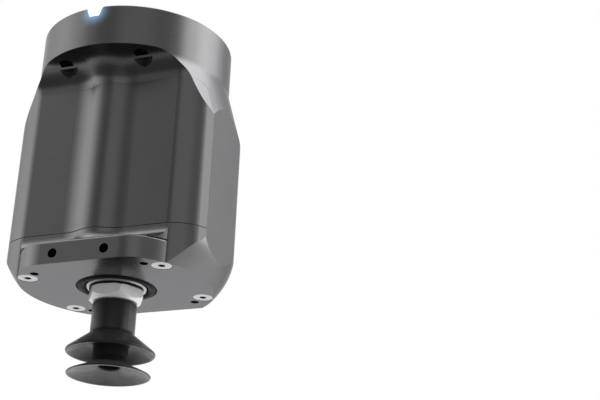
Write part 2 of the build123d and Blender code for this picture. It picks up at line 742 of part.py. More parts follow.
with BuildPart() as contact_pins:
    with BuildSketch(Plane.XY.offset(-6.5)):
        with Locations((0, CONTACT_Y)):
            with pin_grid():
                Circle(PIN_R)
    extrude(amount=PIN_TIP_Z + 6.5)
    tips = contact_pins.faces().filter_by(Axis.Z).group_by(Axis.Z)[-1].edges()
    fillet(tips, radius=0.4)
save(contact_pins, "contact_pins")

with BuildPart() as interface_board:
    with BuildSketch(Plane.XY.offset(BOARD_TOP_Z - BOARD_T)):
        Circle(17.8)
        with PolarLocations(BOARD_SCREW_R, 3, start_angle=30):
            Circle(1.05, mode=Mode.SUBTRACT)
        with Locations((0, 17)):
            Rectangle(7, 6, mode=Mode.SUBTRACT)
    extrude(amount=BOARD_T)
    with BuildSketch(Plane.XY.offset(BOARD_TOP_Z)):
        with Locations((-7, -4), (6, -6)):
            Rectangle(6, 6)
    extrude(amount=1.2)
save(interface_board, "interface_board")

with BuildPart() as interface_board_screws:
    with BuildSketch(Plane.XY.offset(POCKET_Z + 0.5)):
        with PolarLocations(BOARD_SCREW_R, 3, start_angle=30):
            Circle(1.0)
    extrude(amount=BOARD_TOP_Z - POCKET_Z - 0.5)
    with BuildSketch(Plane.XY.offset(BOARD_TOP_Z)):
        with PolarLocations(BOARD_SCREW_R, 3, start_angle=30):
            Circle(1.9)
    extrude(amount=1.4)
save(interface_board_screws, "interface_board_screws")

with BuildPart() as status_light_window:
    extrude(light_shape.sketch, amount=8)
    revolve(outer_profile.sketch, axis=Axis.Z, mode=Mode.INTERSECT)
save(status_light_window, "status_light_window")

with BuildPart() as light_board:
    with BuildSketch(Plane.XZ.offset(-LIGHT_BACK_Y - 1.4)):
        with Locations((0, -4.2)):
            Rectangle(8.6, 5.2)
    extrude(amount=-1)
    with BuildSketch(Plane.XZ.offset(-LIGHT_BACK_Y - 1.4)):
        with Locations((0, -3)):
            Rectangle(3, 1.8)
    extrude(amount=0.8)
save(light_board, "light_board")

# --- Pump motor ---------------------------------------------------------------------------------
MOTOR_AXIS = Axis((0, PUMP_Y, PUMP_Z), (1, 0, 0))
BELL_RIGHT_X = PUMP_LEFT_X


def motor_plane(x):
    """A sketch plane across the motor axis, facing +X."""
    return Plane(origin=(x, PUMP_Y, PUMP_Z), x_dir=(0, 1, 0), z_dir=(1, 0, 0))


def turned_x(points):
    """Turn a closed profile of (x, radius) points about the motor axis."""
    with BuildSketch(Plane.XZ.offset(-PUMP_Y)) as profile:
        with BuildLine():
            Polyline(*[(x, PUMP_Z + r) for x, r in points], close=True)
        make_face()
    revolve(profile.sketch, axis=MOTOR_AXIS)


def ring_x(x_from, x_to, outer_r, inner_r):
    """A plain ring on the motor axis."""
    turned_x([(x_from, inner_r), (x_to, inner_r), (x_to, outer_r), (x_from, outer_r)])


with BuildPart() as motor_can:
    turned_x(
        [
            (MOTOR_LEFT_X, 0),
            (MOTOR_LEFT_X, MOTOR_R - 0.8),
            (MOTOR_LEFT_X + 0.8, MOTOR_R),
            (MOTOR_RIGHT_X, MOTOR_R),
            (MOTOR_RIGHT_X, MOTOR_R - 1),
            (MOTOR_LEFT_X + 1, MOTOR_R - 1),
            (MOTOR_LEFT_X + 1, BEARING_R + 1.5),
            (MOTOR_LEFT_X + 1 + BEARING_W, BEARING_R + 1.5),
            (MOTOR_LEFT_X + 1 + BEARING_W, BEARING_R + BASE_CLEARANCE),
            (MOTOR_LEFT_X + 1, BEARING_R + BASE_CLEARANCE),
            (MOTOR_LEFT_X + 1, 0),
        ]
    )
save(motor_can, "motor_can")

with BuildPart() as motor_end_bell:
    ring_x(MOTOR_RIGHT_X, BELL_RIGHT_X, MOTOR_R, BEARING_R + BASE_CLEARANCE)
    ring_x(MOTOR_RIGHT_X - 1.5, MOTOR_RIGHT_X, MOTOR_R - 1.05, MOTOR_R - 2.5)
save(motor_end_bell, "motor_end_bell")

with BuildPart() as motor_bearings:
    for left in (MOTOR_LEFT_X + 1, BELL_RIGHT_X - BEARING_W):
        ring_x(left, left + BEARING_W, BEARING_R, SHAFT_R + RUNNING_FIT)
save(motor_bearings, "motor_bearings")

with BuildPart() as motor_stator:
    with BuildSketch(motor_plane(-25)):
        Circle(11.4)
        Circle(7.8, mode=Mode.SUBTRACT)
        with PolarLocations(9.2, 6):
            Circle(1.5, mode=Mode.SUBTRACT)
        with PolarLocations(8.2, 6):
            Rectangle(2, 1, mode=Mode.SUBTRACT)
    extrude(amount=20)
save(motor_stator, "motor_stator")

with BuildPart() as motor_rotor:
    ring_x(-24, -6, 7.3, SHAFT_R + RUNNING_FIT)
save(motor_rotor, "motor_rotor")

with BuildPart() as motor_shaft:
    turned_x([(-29.8, 0), (-29.8, SHAFT_R), (10.4, SHAFT_R), (10.4, 0)])
save(motor_shaft, "motor_shaft")

# --- Crank and connecting rod ---------------------------------------------------------------------
ROD_HALF_W = 2.0
CRANK_X = (8.2, 10.8)

with BuildPart() as crank_eccentric:
    ring_x(CRANK_X[0], CRANK_X[1], 7, SHAFT_R + RUNNING_FIT)
    with BuildSketch(motor_plane(CRANK_X[1])):
        with Locations((CRANK_THROW, 0)):
            Circle(CRANK_PIN_R)
    extrude(amount=6)
save(crank_eccentric, "crank_eccentric")

with BuildPart() as crank_bearing:
    with BuildSketch(motor_plane(PUMP_X - 2.2)):
        with Locations((CRANK_THROW, 0)):
            Circle(CRANK_BEARING_R)
            Circle(CRANK_PIN_R + RUNNING_FIT, mode=Mode.SUBTRACT)
    extrude(amount=4.4)
save(crank_bearing, "crank_bearing")

with BuildPart() as connecting_rod:
    with BuildSketch(motor_plane(PUMP_X - ROD_HALF_W)):
        with Locations((0, -(PUMP_Z - DIAPHRAGM_TOP_Z - 1) / 2)):
            Rectangle(5, PUMP_Z - DIAPHRAGM_TOP_Z - 1)
        Circle(ROD_EYE_R + 1.65)
        Circle(ROD_EYE_R, mode=Mode.SUBTRACT)
    extrude(amount=2 * ROD_HALF_W)
    with BuildSketch(Plane.XY.offset(DIAPHRAGM_TOP_Z)):
        with Locations((PUMP_X, PUMP_Y)):
            Circle(5)
    extrude(amount=1.8)
save(connecting_rod, "connecting_rod")

# --- Pump ---------------------------------------------------------------------------------------
PLATE_TOP_Z = DIAPHRAGM_TOP_Z - DIAPHRAGM_T
HEAD_TOP_Z = PLATE_TOP_Z - VALVE_PLATE_T
HEAD_BOTTOM_Z = HEAD_TOP_Z - HEAD_T
HEAD_SCREW_R = 1.25
VALVE_HOLE_X = 4.5


def pump_square(size):
    """A rounded square centred on the pump."""
    with Locations((PUMP_X, PUMP_Y)):
        RectangleRounded(size, size, 2)


def head_screw_places():
    """The four screws that hold the pump together."""
    return Locations(
        *[(PUMP_X + x, PUMP_Y + y) for x, y in at_corners(HEAD_SCREW, HEAD_SCREW)]
    )


with BuildPart() as pump_body:
    with BuildSketch(Plane.XY.offset(PLATE_TOP_Z)):
        pump_square(PUMP_WIDTH)
    extrude(amount=PUMP_TOP_Z - PLATE_TOP_Z)
    with BuildSketch(motor_plane(PUMP_LEFT_X + PUMP_WALL)):
        Circle(CRANK_BORE_R)
    extrude(amount=PUMP_WIDTH, mode=Mode.SUBTRACT)
    with BuildSketch(motor_plane(PUMP_LEFT_X)):
        Circle(SHAFT_R + 1)
    extrude(amount=PUMP_WALL, mode=Mode.SUBTRACT)
    with BuildSketch(Plane.XY.offset(PLATE_TOP_Z)):
        with Locations((PUMP_X, PUMP_Y)):
            Circle(DIAPHRAGM_R)
    extrude(amount=PUMP_Z - PLATE_TOP_Z, mode=Mode.SUBTRACT)
    with BuildSketch(Plane.XY.offset(PLATE_TOP_Z)):
        with head_screw_places():
            Circle(HEAD_SCREW_R + BASE_CLEARANCE)
    extrude(amount=3.6, mode=Mode.SUBTRACT)
save(pump_body, "pump_body")

with BuildPart() as pump_cover:
    with BuildSketch(motor_plane(PUMP_RIGHT_X)):
        with Locations((0, (PUMP_TOP_Z + PLATE_TOP_Z) / 2 - PUMP_Z)):
            RectangleRounded(PUMP_WIDTH, PUMP_TOP_Z - PLATE_TOP_Z, 1.5)
        Circle(1, mode=Mode.SUBTRACT)
    extrude(amount=1.5)
    with BuildSketch(motor_plane(PUMP_RIGHT_X - 1.5)):
        Circle(CRANK_BORE_R - BASE_CLEARANCE)
        Circle(CRANK_BORE_R - 1.5, mode=Mode.SUBTRACT)
    extrude(amount=1.5)
save(pump_cover, "pump_cover")

with BuildPart() as diaphragm:
    with BuildSketch(Plane.XY.offset(PLATE_TOP_Z)):
        with Locations((PUMP_X, PUMP_Y)):
            Circle(DIAPHRAGM_R - BASE_CLEARANCE)
    extrude(amount=DIAPHRAGM_T)
save(diaphragm, "diaphragm")

with BuildPart() as valve_plate:
    with BuildSketch(Plane.XY.offset(HEAD_TOP_Z)):
        pump_square(PUMP_WIDTH)
        with Locations((PUMP_X - VALVE_HOLE_X, PUMP_Y), (PUMP_X + VALVE_HOLE_X, PUMP_Y)):
            Circle(1.3, mode=Mode.SUBTRACT)
        with head_screw_places():
            Circle(HEAD_SCREW_R + BASE_CLEARANCE, mode=Mode.SUBTRACT)
    extrude(amount=VALVE_PLATE_T)
    with BuildSketch(Plane.XY.offset(PLATE_TOP_Z)):
        with Locations((PUMP_X, PUMP_Y)):
            Circle(DIAPHRAGM_R - 0.5)
    extrude(amount=-0.9, mode=Mode.SUBTRACT)
save(valve_plate, "valve_plate")

with BuildPart() as flap_valves:
    with BuildSketch(Plane.XY.offset(PLATE_TOP_Z - 0.9)):
        with Locations((PUMP_X + VALVE_HOLE_X, PUMP_Y)):
            Circle(2.4)
    extrude(amount=0.4)
    with BuildSketch(Plane.XY.offset(HEAD_TOP_Z)):
        with Locations((PUMP_X - VALVE_HOLE_X, PUMP_Y)):
            Circle(2.4)
    extrude(amount=-0.4)
save(flap_valves, "flap_valves")

with BuildPart() as pump_head:
    with BuildSketch(Plane.XY.offset(HEAD_BOTTOM_Z)):
        pump_square(PUMP_WIDTH)
        with head_screw_places():
            Circle(HEAD_SCREW_R + BASE_CLEARANCE, mode=Mode.SUBTRACT)
    extrude(amount=HEAD_T)
    with BuildSketch(Plane.XY.offset(HEAD_BOTTOM_Z)):
        with head_screw_places():
            Circle(2.5)
    extrude(amount=1.8, mode=Mode.SUBTRACT)
    with BuildSketch(Plane.XY.offset(HEAD_TOP_Z)):
        with Locations((PUMP_X - VALVE_HOLE_X, PUMP_Y), (PUMP_X + VALVE_HOLE_X, PUMP_Y)):
            RectangleRounded(7.4, 16, 1.5)
    extrude(amount=-6, mode=Mode.SUBTRACT)
    front_y = PUMP_Y - PUMP_WIDTH / 2
    with BuildSketch(Plane.XZ.offset(-front_y)):
        with Locations(*[(x, PORT_Z) for x in PORT_X]):
            Circle(NOZZLE_R)
    extrude(amount=3.5)
    with BuildSketch(Plane.XZ.offset(-front_y + 3.5)):
        with Locations(*[(x, PORT_Z) for x in PORT_X]):
            Circle(NOZZLE_BORE_R)
    extrude(amount=-9, mode=Mode.SUBTRACT)
save(pump_head, "pump_head")

with BuildPart() as pump_head_screws:
    with BuildSketch(Plane.XY.offset(HEAD_BOTTOM_Z + 0.2)):
        with head_screw_places():
            Circle(2.3)
            RegularPolygon(1.1, 6, mode=Mode.SUBTRACT)
    extrude(amount=1.2)
    with BuildSketch(Plane.XY.offset(HEAD_BOTTOM_Z + 1.4)):
        with head_screw_places():
            Circle(2.3)
    extrude(amount=0.4)
    with BuildSketch(Plane.XY.offset(HEAD_BOTTOM_Z + 1.8)):
        with head_screw_places():
            Circle(HEAD_SCREW_R)
    extrude(amount=HEAD_T + VALVE_PLATE_T + 1.4)
save(pump_head_screws, "pump_head_screws")

with BuildPart() as pump_mounts:
    with BuildSketch(Plane.XY.offset(BLOCK_TOP_Z)):
        with Locations(*[(x, y) for x in (6.5, 17.5) for y in (1, 10)]):
            Circle(2.8)
    extrude(amount=HEAD_BOTTOM_Z - BLOCK_TOP_Z)
save(pump_mounts, "pump_mounts")

# --- Hoses and muffler ----------------------------------------------------------------------------
HOSE_START_Y = PUMP_Y - PUMP_WIDTH / 2 - 0.3
BEND_Y = HOSE_Y + HOSE_BEND_R


def swept_hose(path, start_plane):
    """A soft hose along a path, slipped over the nozzles at its ends."""
    with BuildSketch(start_plane) as bore:
        Circle(HOSE_R)
        Circle(HOSE_BORE_R, mode=Mode.SUBTRACT)
    sweep(bore.sketch, path=path)


with BuildPart() as suction_hose:
    with BuildLine() as suction_path:
        out = Line((PORT_X[1], HOSE_START_Y, PORT_Z), (PORT_X[1], BEND_Y, PORT_Z))
        turn = TangentArc(
            out @ 1, (PORT_X[1], HOSE_Y, PORT_Z - HOSE_BEND_R), tangent=(0, -1, 0)
        )
        Line(turn @ 1, (PORT_X[1], HOSE_Y, BLOCK_TOP_Z + 2.2))
    swept_hose(suction_path.line, Plane(origin=out @ 0, z_dir=(0, -1, 0)))
save(suction_hose, "suction_hose")

MUFFLER_X = (-20.0, -1.5)

with BuildPart() as exhaust_hose:
    with BuildLine() as exhaust_path:
        out = Line((PORT_X[0], HOSE_START_Y, PORT_Z), (PORT_X[0], BEND_Y, PORT_Z))
        turn = TangentArc(
            out @ 1, (PORT_X[0] - HOSE_BEND_R, HOSE_Y, PORT_Z), tangent=(0, -1, 0)
        )
        Line(turn @ 1, (MUFFLER_X[1] + 0.5, HOSE_Y, PORT_Z))
    swept_hose(exhaust_path.line, Plane(origin=out @ 0, z_dir=(0, -1, 0)))
save(exhaust_hose, "exhaust_hose")

with BuildPart() as exhaust_muffler:
    with BuildSketch(Plane.YZ.offset(MUFFLER_X[0])):
        with Locations((HOSE_Y, PORT_Z)):
            Circle(4.2)
    extrude(amount=MUFFLER_X[1] - MUFFLER_X[0])
    fillet(exhaust_muffler.faces().sort_by(Axis.X)[-1].edges(), radius=1)
    with BuildSketch(Plane.YZ.offset(MUFFLER_X[1])):
        with Locations((HOSE_Y, PORT_Z)):
            Circle(NOZZLE_R)
    extrude(amount=3.5)
    with BuildSketch(Plane.YZ.offset(MUFFLER_X[1] + 3.5)):
        with Locations((HOSE_Y, PORT_Z)):
            Circle(NOZZLE_BORE_R)
    extrude(amount=-12, mode=Mode.SUBTRACT)
save(exhaust_muffler, "exhaust_muffler")

# --- Vacuum block and check valve -----------------------------------------------------------------


def gallery(end):
    """Drill an air gallery from the middle of the block to one valve."""
    along = Plane(origin=(0, 0, GALLERY_Z), z_dir=(end[0], end[1], 0))
    with BuildSketch(along) as drill:
        Circle(1.1)
    extrude(drill.sketch, amount=(end[0] ** 2 + end[1] ** 2) ** 0.5, mode=Mode.SUBTRACT)


with BuildPart() as vacuum_block:
    with BuildSketch(Plane.XY.offset(SEAM_Z)):
        with Locations((0, sum(BLOCK_Y) / 2)):
            RectangleRounded(2 * BLOCK_HALF_X, BLOCK_Y[1] - BLOCK_Y[0], 3)
        with Locations(*BLOCK_SCREWS):
            Circle(1.55, mode=Mode.SUBTRACT)
        Circle(PORT_CORE_R, mode=Mode.SUBTRACT)
    extrude(amount=BLOCK_TOP_Z - SEAM_Z)
    # the core bore is blind: close it above the galleries
    with BuildSketch(Plane.XY.offset(GALLERY_Z + 1.2)):
        Circle(PORT_CORE_R)
    extrude(amount=BLOCK_TOP_Z - GALLERY_Z - 1.2)
    with BuildSketch(Plane.XY.offset(SEAM_Z)):
        Circle(6.4)
        Circle(4.6, mode=Mode.SUBTRACT)
    extrude(amount=1.4, mode=Mode.SUBTRACT)
    gallery(CHECK_VALVE)
    gallery(RELEASE_VALVE)
    with BuildSketch(Plane.XY.offset(BLOCK_TOP_Z)):
        with Locations(CHECK_VALVE):
            Circle(CHECK_BORE_R)
    extrude(amount=CHECK_SEAT_Z - BLOCK_TOP_Z, mode=Mode.SUBTRACT)
    with BuildSketch(Plane.XY.offset(BLOCK_TOP_Z)):
        with Locations(CHECK_VALVE, RELEASE_VALVE):
            Circle(1.2)
    extrude(amount=GALLERY_Z - BLOCK_TOP_Z, mode=Mode.SUBTRACT)
    with BuildSketch(Plane.XY.offset(BLOCK_TOP_Z)):
        with Locations((0, -10)):
            Circle(0.8)
    extrude(amount=-4, mode=Mode.SUBTRACT)
save(vacuum_block, "vacuum_block")

with BuildPart() as block_seal:
    with BuildSketch(Plane.XZ):
        with Locations((5.5, SEAM_Z + 0.7)):
            Circle(0.7)
    revolve(axis=Axis.Z)
save(block_seal, "block_seal")

with BuildPart() as block_screws:
    with BuildSketch(Plane.XY.offset(SEAM_Z - 5)):
        with Locations(*BLOCK_SCREWS):
            Circle(1.5)
    extrude(amount=BLOCK_TOP_Z - SEAM_Z + 5)
    with BuildSketch(Plane.XY.offset(BLOCK_TOP_Z)):
        with Locations(*BLOCK_SCREWS):
            Circle(2.8)
    extrude(amount=3)
    with BuildSketch(Plane.XY.offset(BLOCK_TOP_Z + 3)):
        with Locations(*BLOCK_SCREWS):
            RegularPolygon(1.4, 6)
    extrude(amount=-1.6, mode=Mode.SUBTRACT)
save(block_screws, "block_screws")


def turned_z(points, place):
    """Turn a closed profile of (radius, z) points about a vertical axis."""
    with BuildSketch(Plane.XZ.offset(-place[1])) as profile:
        with BuildLine():
            Polyline(*[(place[0] + r, z) for r, z in points], close=True)
        make_face()
    revolve(profile.sketch, axis=Axis((place[0], place[1], 0), (0, 0, 1)))


def coil_spring(radius, wire_r, z_from, z_to, turns, place):
    """A round-wire compression spring between two heights."""
    height = z_to - z_from - 2 * wire_r
    start = (place[0], place[1], z_from + wire_r)
    with BuildLine() as wire_path:
        Helix(height / turns, height, radius, center=start)
    with BuildSketch(Plane(origin=wire_path.line @ 0, z_dir=wire_path.line % 0)) as wire:
        Circle(wire_r)
    sweep(wire.sketch, path=wire_path.line, is_frenet=True)


with BuildPart() as check_valve_cap:
    turned_z(
        [
            (NOZZLE_BORE_R, CHECK_PLUG_Z),
            (CHECK_BORE_R - BASE_CLEARANCE, CHECK_PLUG_Z),
            (CHECK_BORE_R - BASE_CLEARANCE, BLOCK_TOP_Z),
            (4.6, BLOCK_TOP_Z),
            (4.6, BLOCK_TOP_Z + 1.8),
            (NOZZLE_R, BLOCK_TOP_Z + 1.8),
            (NOZZLE_R, BLOCK_TOP_Z + 5.2),
            (NOZZLE_BORE_R, BLOCK_TOP_Z + 5.2),
        ],
        CHECK_VALVE,
    )
save(check_valve_cap, "check_valve_cap")

with BuildPart() as check_valve_poppet:
    turned_z(
        [
            (0, CHECK_SEAT_Z + 0.05),
            (2.9, CHECK_SEAT_Z + 0.05),
            (2.9, CHECK_SEAT_Z + 1.1),
            (1.1, CHECK_SEAT_Z + 1.1),
            (1.1, CHECK_PLUG_Z - 2),
            (0, CHECK_PLUG_Z - 2),
        ],
        CHECK_VALVE,
    )
save(check_valve_poppet, "check_valve_poppet")

with BuildPart() as check_valve_spring:
    coil_spring(2.0, 0.25, CHECK_SEAT_Z + 1.15, CHECK_PLUG_Z - 0.05, 4, CHECK_VALVE)
save(check_valve_spring, "check_valve_spring")

# --- Release valve ----------------------------------------------------------------------------------
TUBE_R = (PLUNGER_R + 0.05, PLUNGER_R + 0.7)

with BuildPart() as release_valve_body:
    turned_z(
        [
            (TUBE_R[1] + BASE_CLEARANCE, BLOCK_TOP_Z),
            (RELEASE_R, BLOCK_TOP_Z),
            (RELEASE_R, RELEASE_TOP_Z),
            (TUBE_R[1] + BASE_CLEARANCE, RELEASE_TOP_Z),
            (TUBE_R[1] + BASE_CLEARANCE, RELEASE_TOP_Z - 1.5),
            (RELEASE_R - 1, RELEASE_TOP_Z - 1.5),
            (RELEASE_R - 1, BLOCK_TOP_Z + 2),
            (TUBE_R[1] + BASE_CLEARANCE, BLOCK_TOP_Z + 2),
        ],
        RELEASE_VALVE,
    )
    vent_plane = Plane(
        origin=(RELEASE_VALVE[0], RELEASE_VALVE[1], BLOCK_TOP_Z + 1), z_dir=(0, -1, 0)
    )
    with BuildSketch(vent_plane):
        Circle(0.6)
    extrude(amount=RELEASE_R + 1, mode=Mode.SUBTRACT)
save(release_valve_body, "release_valve_body")

with BuildPart() as release_valve_coil:
    turned_z(
        [
            (TUBE_R[1] + 0.1, BLOCK_TOP_Z + 2.2),
            (RELEASE_R - 1.1, BLOCK_TOP_Z + 2.2),
            (RELEASE_R - 1.1, RELEASE_TOP_Z - 1.7),
            (TUBE_R[1] + 0.1, RELEASE_TOP_Z - 1.7),
        ],
        RELEASE_VALVE,
    )
save(release_valve_coil, "release_valve_coil")

with BuildPart() as release_valve_tube:
    turned_z(
        [
            (TUBE_R[0], BLOCK_TOP_Z),
            (TUBE_R[1], BLOCK_TOP_Z),
            (TUBE_R[1], RELEASE_TOP_Z),
            (TUBE_R[0], RELEASE_TOP_Z),
        ],
        RELEASE_VALVE,
    )
    with BuildSketch(vent_plane):
        Circle(0.6)
    extrude(amount=RELEASE_R, mode=Mode.SUBTRACT)
save(release_valve_tube, "release_valve_tube")

with BuildPart() as release_valve_core:
    turned_z(
        [(0, CORE_END_Z), (PLUNGER_R, CORE_END_Z), (PLUNGER_R, RELEASE_TOP_Z), (0, RELEASE_TOP_Z)],
        RELEASE_VALVE,
    )
save(release_valve_core, "release_valve_core")

with BuildPart() as release_valve_plunger:
    turned_z(
        [
            (0, PLUNGER_END_Z),
            (PLUNGER_R, PLUNGER_END_Z),
            (PLUNGER_R, PLUNGER_TOP_Z),
            (0, PLUNGER_TOP_Z),
        ],
        RELEASE_VALVE,
    )
save(release_valve_plunger, "release_valve_plunger")

with BuildPart() as release_valve_seal:
    turned_z(
        [
            (0, BLOCK_TOP_Z + 0.05),
            (2.2, BLOCK_TOP_Z + 0.05),
            (2.2, PLUNGER_END_Z),
            (0, PLUNGER_END_Z),
        ],
        RELEASE_VALVE,
    )
save(release_valve_seal, "release_valve_seal")

with BuildPart() as release_valve_spring:
    coil_spring(2.2, 0.3, PLUNGER_TOP_Z + 0.05, CORE_END_Z - 0.05, 4, RELEASE_VALVE)
save(release_valve_spring, "release_valve_spring")

# --- Electronics --------------------------------------------------------------------------------
with BuildPart() as pressure_sensor:
    with BuildSketch(Plane.XY.offset(BLOCK_TOP_Z)):
        with Locations((0, -10)):
            RectangleRounded(7, 7, 0.6)
            Circle(0.8, mode=Mode.SUBTRACT)
    extrude(amount=2)
    with BuildSketch(Plane.XY.offset(BLOCK_TOP_Z + 2)):
        with Locations((0, -10)):
            RectangleRounded(6.4, 6.4, 0.6)
    extrude(amount=1.4)
save(pressure_sensor, "pressure_sensor")


def on_board(depth):
    """A plane parallel to the circuit board, a depth in front of its front face."""
    return Plane(origin=(0, BOARD_Y - depth, 0), x_dir=(1, 0, 0), z_dir=(0, -1, 0))


with BuildPart() as control_board:
    with BuildSketch(on_board(0)):
        with Locations((0, sum(BOARD_Z) / 2)):
            RectangleRounded(2 * BOARD_HALF_X, BOARD_Z[1] - BOARD_Z[0], 1.5)
        with Locations(*BOARD_HOLES):
            Circle(1.35, mode=Mode.SUBTRACT)
    extrude(amount=-BOARD_T)
    with BuildSketch(on_board(0)):
        with Locations((-8, -62), (7, -58)):
            Rectangle(8, 8)
        with Locations((8, -72), (13, -72), (-14, -74), (-9, -74)):
            Rectangle(3, 1.8)
    extrude(amount=1.4)
    with BuildSketch(on_board(0)):
        with Locations((0, -46)):
            Rectangle(12, 4)
        with Locations((16, -60)):
            Circle(3.2)
    extrude(amount=4)
save(control_board, "control_board")

with BuildPart() as board_standoffs:
    with BuildSketch(on_board(-BOARD_T)):
        with Locations(*BOARD_HOLES):
            RegularPolygon(2.6, 6)
            Circle(1.3, mode=Mode.SUBTRACT)
    extrude(amount=-(REAR_FLAT_Y - WALL - BOARD_Y - BOARD_T))
save(board_standoffs, "board_standoffs")

with BuildPart() as board_screws:
    with BuildSketch(on_board(0)):
        with Locations(*BOARD_HOLES):
            Circle(1.25)
    extrude(amount=-5)
    with BuildSketch(on_board(0)):
        with Locations(*BOARD_HOLES):
            Circle(2.3)
    extrude(amount=1.6)
save(board_screws, "board_screws")

with BuildPart() as interface_cable:
    with BuildLine() as cable_path:
        drop = Line((0, 14, BOARD_TOP_Z - BOARD_T), (0, 14, -19))
        bend = Spline(
            drop @ 1,
            (0, 22.5, -30),
            (0, BOARD_Y - 2, -43.9),
            tangents=((0, 0, -1), (0, 0, -1)),
        )
    with BuildSketch(Plane(origin=drop @ 0, z_dir=(0, 0, -1))):
        Circle(1.6)
    sweep(path=cable_path.line)
save(interface_cable, "interface_cable")
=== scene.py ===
"""Looks for the electric vacuum gripper: materials, rubber parts, studio and camera."""

import json
import math

import bpy
from mathutils import Matrix, Vector


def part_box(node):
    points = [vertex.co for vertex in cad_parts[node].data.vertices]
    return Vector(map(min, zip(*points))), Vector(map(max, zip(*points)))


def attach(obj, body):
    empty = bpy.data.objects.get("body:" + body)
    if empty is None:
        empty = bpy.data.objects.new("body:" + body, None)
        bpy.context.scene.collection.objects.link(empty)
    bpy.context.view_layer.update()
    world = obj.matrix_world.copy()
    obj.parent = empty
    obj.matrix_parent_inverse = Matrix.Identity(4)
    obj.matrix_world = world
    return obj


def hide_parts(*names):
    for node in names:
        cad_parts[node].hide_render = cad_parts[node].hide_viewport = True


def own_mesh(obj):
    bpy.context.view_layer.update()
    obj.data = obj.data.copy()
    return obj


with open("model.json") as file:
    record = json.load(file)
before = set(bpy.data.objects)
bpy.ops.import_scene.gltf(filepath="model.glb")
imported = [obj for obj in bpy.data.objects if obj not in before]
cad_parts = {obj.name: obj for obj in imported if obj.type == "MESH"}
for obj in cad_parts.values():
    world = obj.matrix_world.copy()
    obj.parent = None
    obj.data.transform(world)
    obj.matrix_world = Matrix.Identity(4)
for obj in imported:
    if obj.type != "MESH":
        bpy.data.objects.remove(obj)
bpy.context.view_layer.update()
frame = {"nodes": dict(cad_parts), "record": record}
MM = 0.001


# --- Node graphs ---------------------------------------------------------------------------
class Graph:
    """A short way to write a node tree: every call adds one node and returns an output."""

    def __init__(self, tree):
        self.tree = tree
        tree.nodes.clear()

    def node(self, kind, inputs=None, **settings):
        made = self.tree.nodes.new(kind)
        for key, value in settings.items():
            setattr(made, key, value)
        for key, value in (inputs or {}).items():
            socket = made.inputs[key]
            if isinstance(value, bpy.types.NodeSocket):
                self.tree.links.new(value, socket)
            else:
                socket.default_value = value
        return made

    def place(self):
        """Object coordinates in metres: they follow each piece and don't need UVs."""
        return self.node("ShaderNodeTexCoord").outputs["Object"]

    def noise(self, scale, detail=3.0, roughness=0.5, vector=None):
        inputs = {"Vector": vector or self.place(), "Scale": scale, "Detail": detail}
        inputs["Roughness"] = roughness
        return self.node("ShaderNodeTexNoise", inputs).outputs["Fac"]

    def remap(self, value, low, high, from_low=0.3, from_high=0.7, smooth=False):
        inputs = {"Value": value, "From Min": from_low, "From Max": from_high}
        inputs.update({"To Min": low, "To Max": high})
        kind = "SMOOTHSTEP" if smooth else "LINEAR"
        return self.node("ShaderNodeMapRange", inputs, interpolation_type=kind).outputs[0]

    def math(self, operation, first, second=0.0, clamp=False):
        inputs = {0: first, 1: second}
        return self.node("ShaderNodeMath", inputs, operation=operation, use_clamp=clamp).outputs[0]

    def vector(self, operation, first, second=(0, 0, 0)):
        inputs = {0: first, 1: second}
        made = self.node("ShaderNodeVectorMath", inputs, operation=operation)
        scalar = operation in ("DOT_PRODUCT", "LENGTH", "DISTANCE")
        return made.outputs["Value" if scalar else "Vector"]

    def mix(self, share, first, second):
        made = self.node("ShaderNodeMix", data_type="RGBA")
        for socket, value in ((0, share), (6, first), (7, second)):
            if isinstance(value, bpy.types.NodeSocket):
                self.tree.links.new(value, made.inputs[socket])
            else:
                made.inputs[socket].default_value = value
        return made.outputs[2]

    def tint(self, colour, share):
        """The colour with its brightness multiplied by a value near 1."""
        made = self.node("ShaderNodeMix", data_type="RGBA", blend_type="MULTIPLY")
        made.inputs[0].default_value = 1.0
        made.inputs[6].default_value = (*colour, 1)
        self.tree.links.new(share, made.inputs[7])
        return made.outputs[2]

    def rounded(self, radius):
        """The normal with edges rounded off over a small radius."""
        inputs = {"Radius": radius}
        return self.node("ShaderNodeBevel", inputs, samples=6).outputs["Normal"]

    def edges(self, radius):
        """1 along edges and 0 on faces."""
        true_normal = self.node("ShaderNodeNewGeometry").outputs["Normal"]
        facing = self.vector("DOT_PRODUCT", self.rounded(radius), true_normal)
        return self.remap(facing, 1.0, 0.0, 0.9, 0.999)

    def bump(self, height, distance, normal=None, strength=1.0):
        inputs = {"Height": height, "Distance": distance, "Strength": strength}
        if normal is not None:
            inputs["Normal"] = normal
        return self.node("ShaderNodeBump", inputs).outputs["Normal"]

    def surface(self, inputs):
        shader = self.node("ShaderNodeBsdfPrincipled", inputs)
        out = self.node("ShaderNodeOutputMaterial")
        self.tree.links.new(shader.outputs[0], out.inputs["Surface"])
        return shader


def new_material(name):
    material = bpy.data.materials.new(name)
    material.use_nodes = True
    return Graph(material.node_tree), material


# --- Metals --------------------------------------------------------------------------------
LIGHT_SPOT = (0.0, -37.5 * MM, -2.0 * MM)  # middle of the status light on the ring


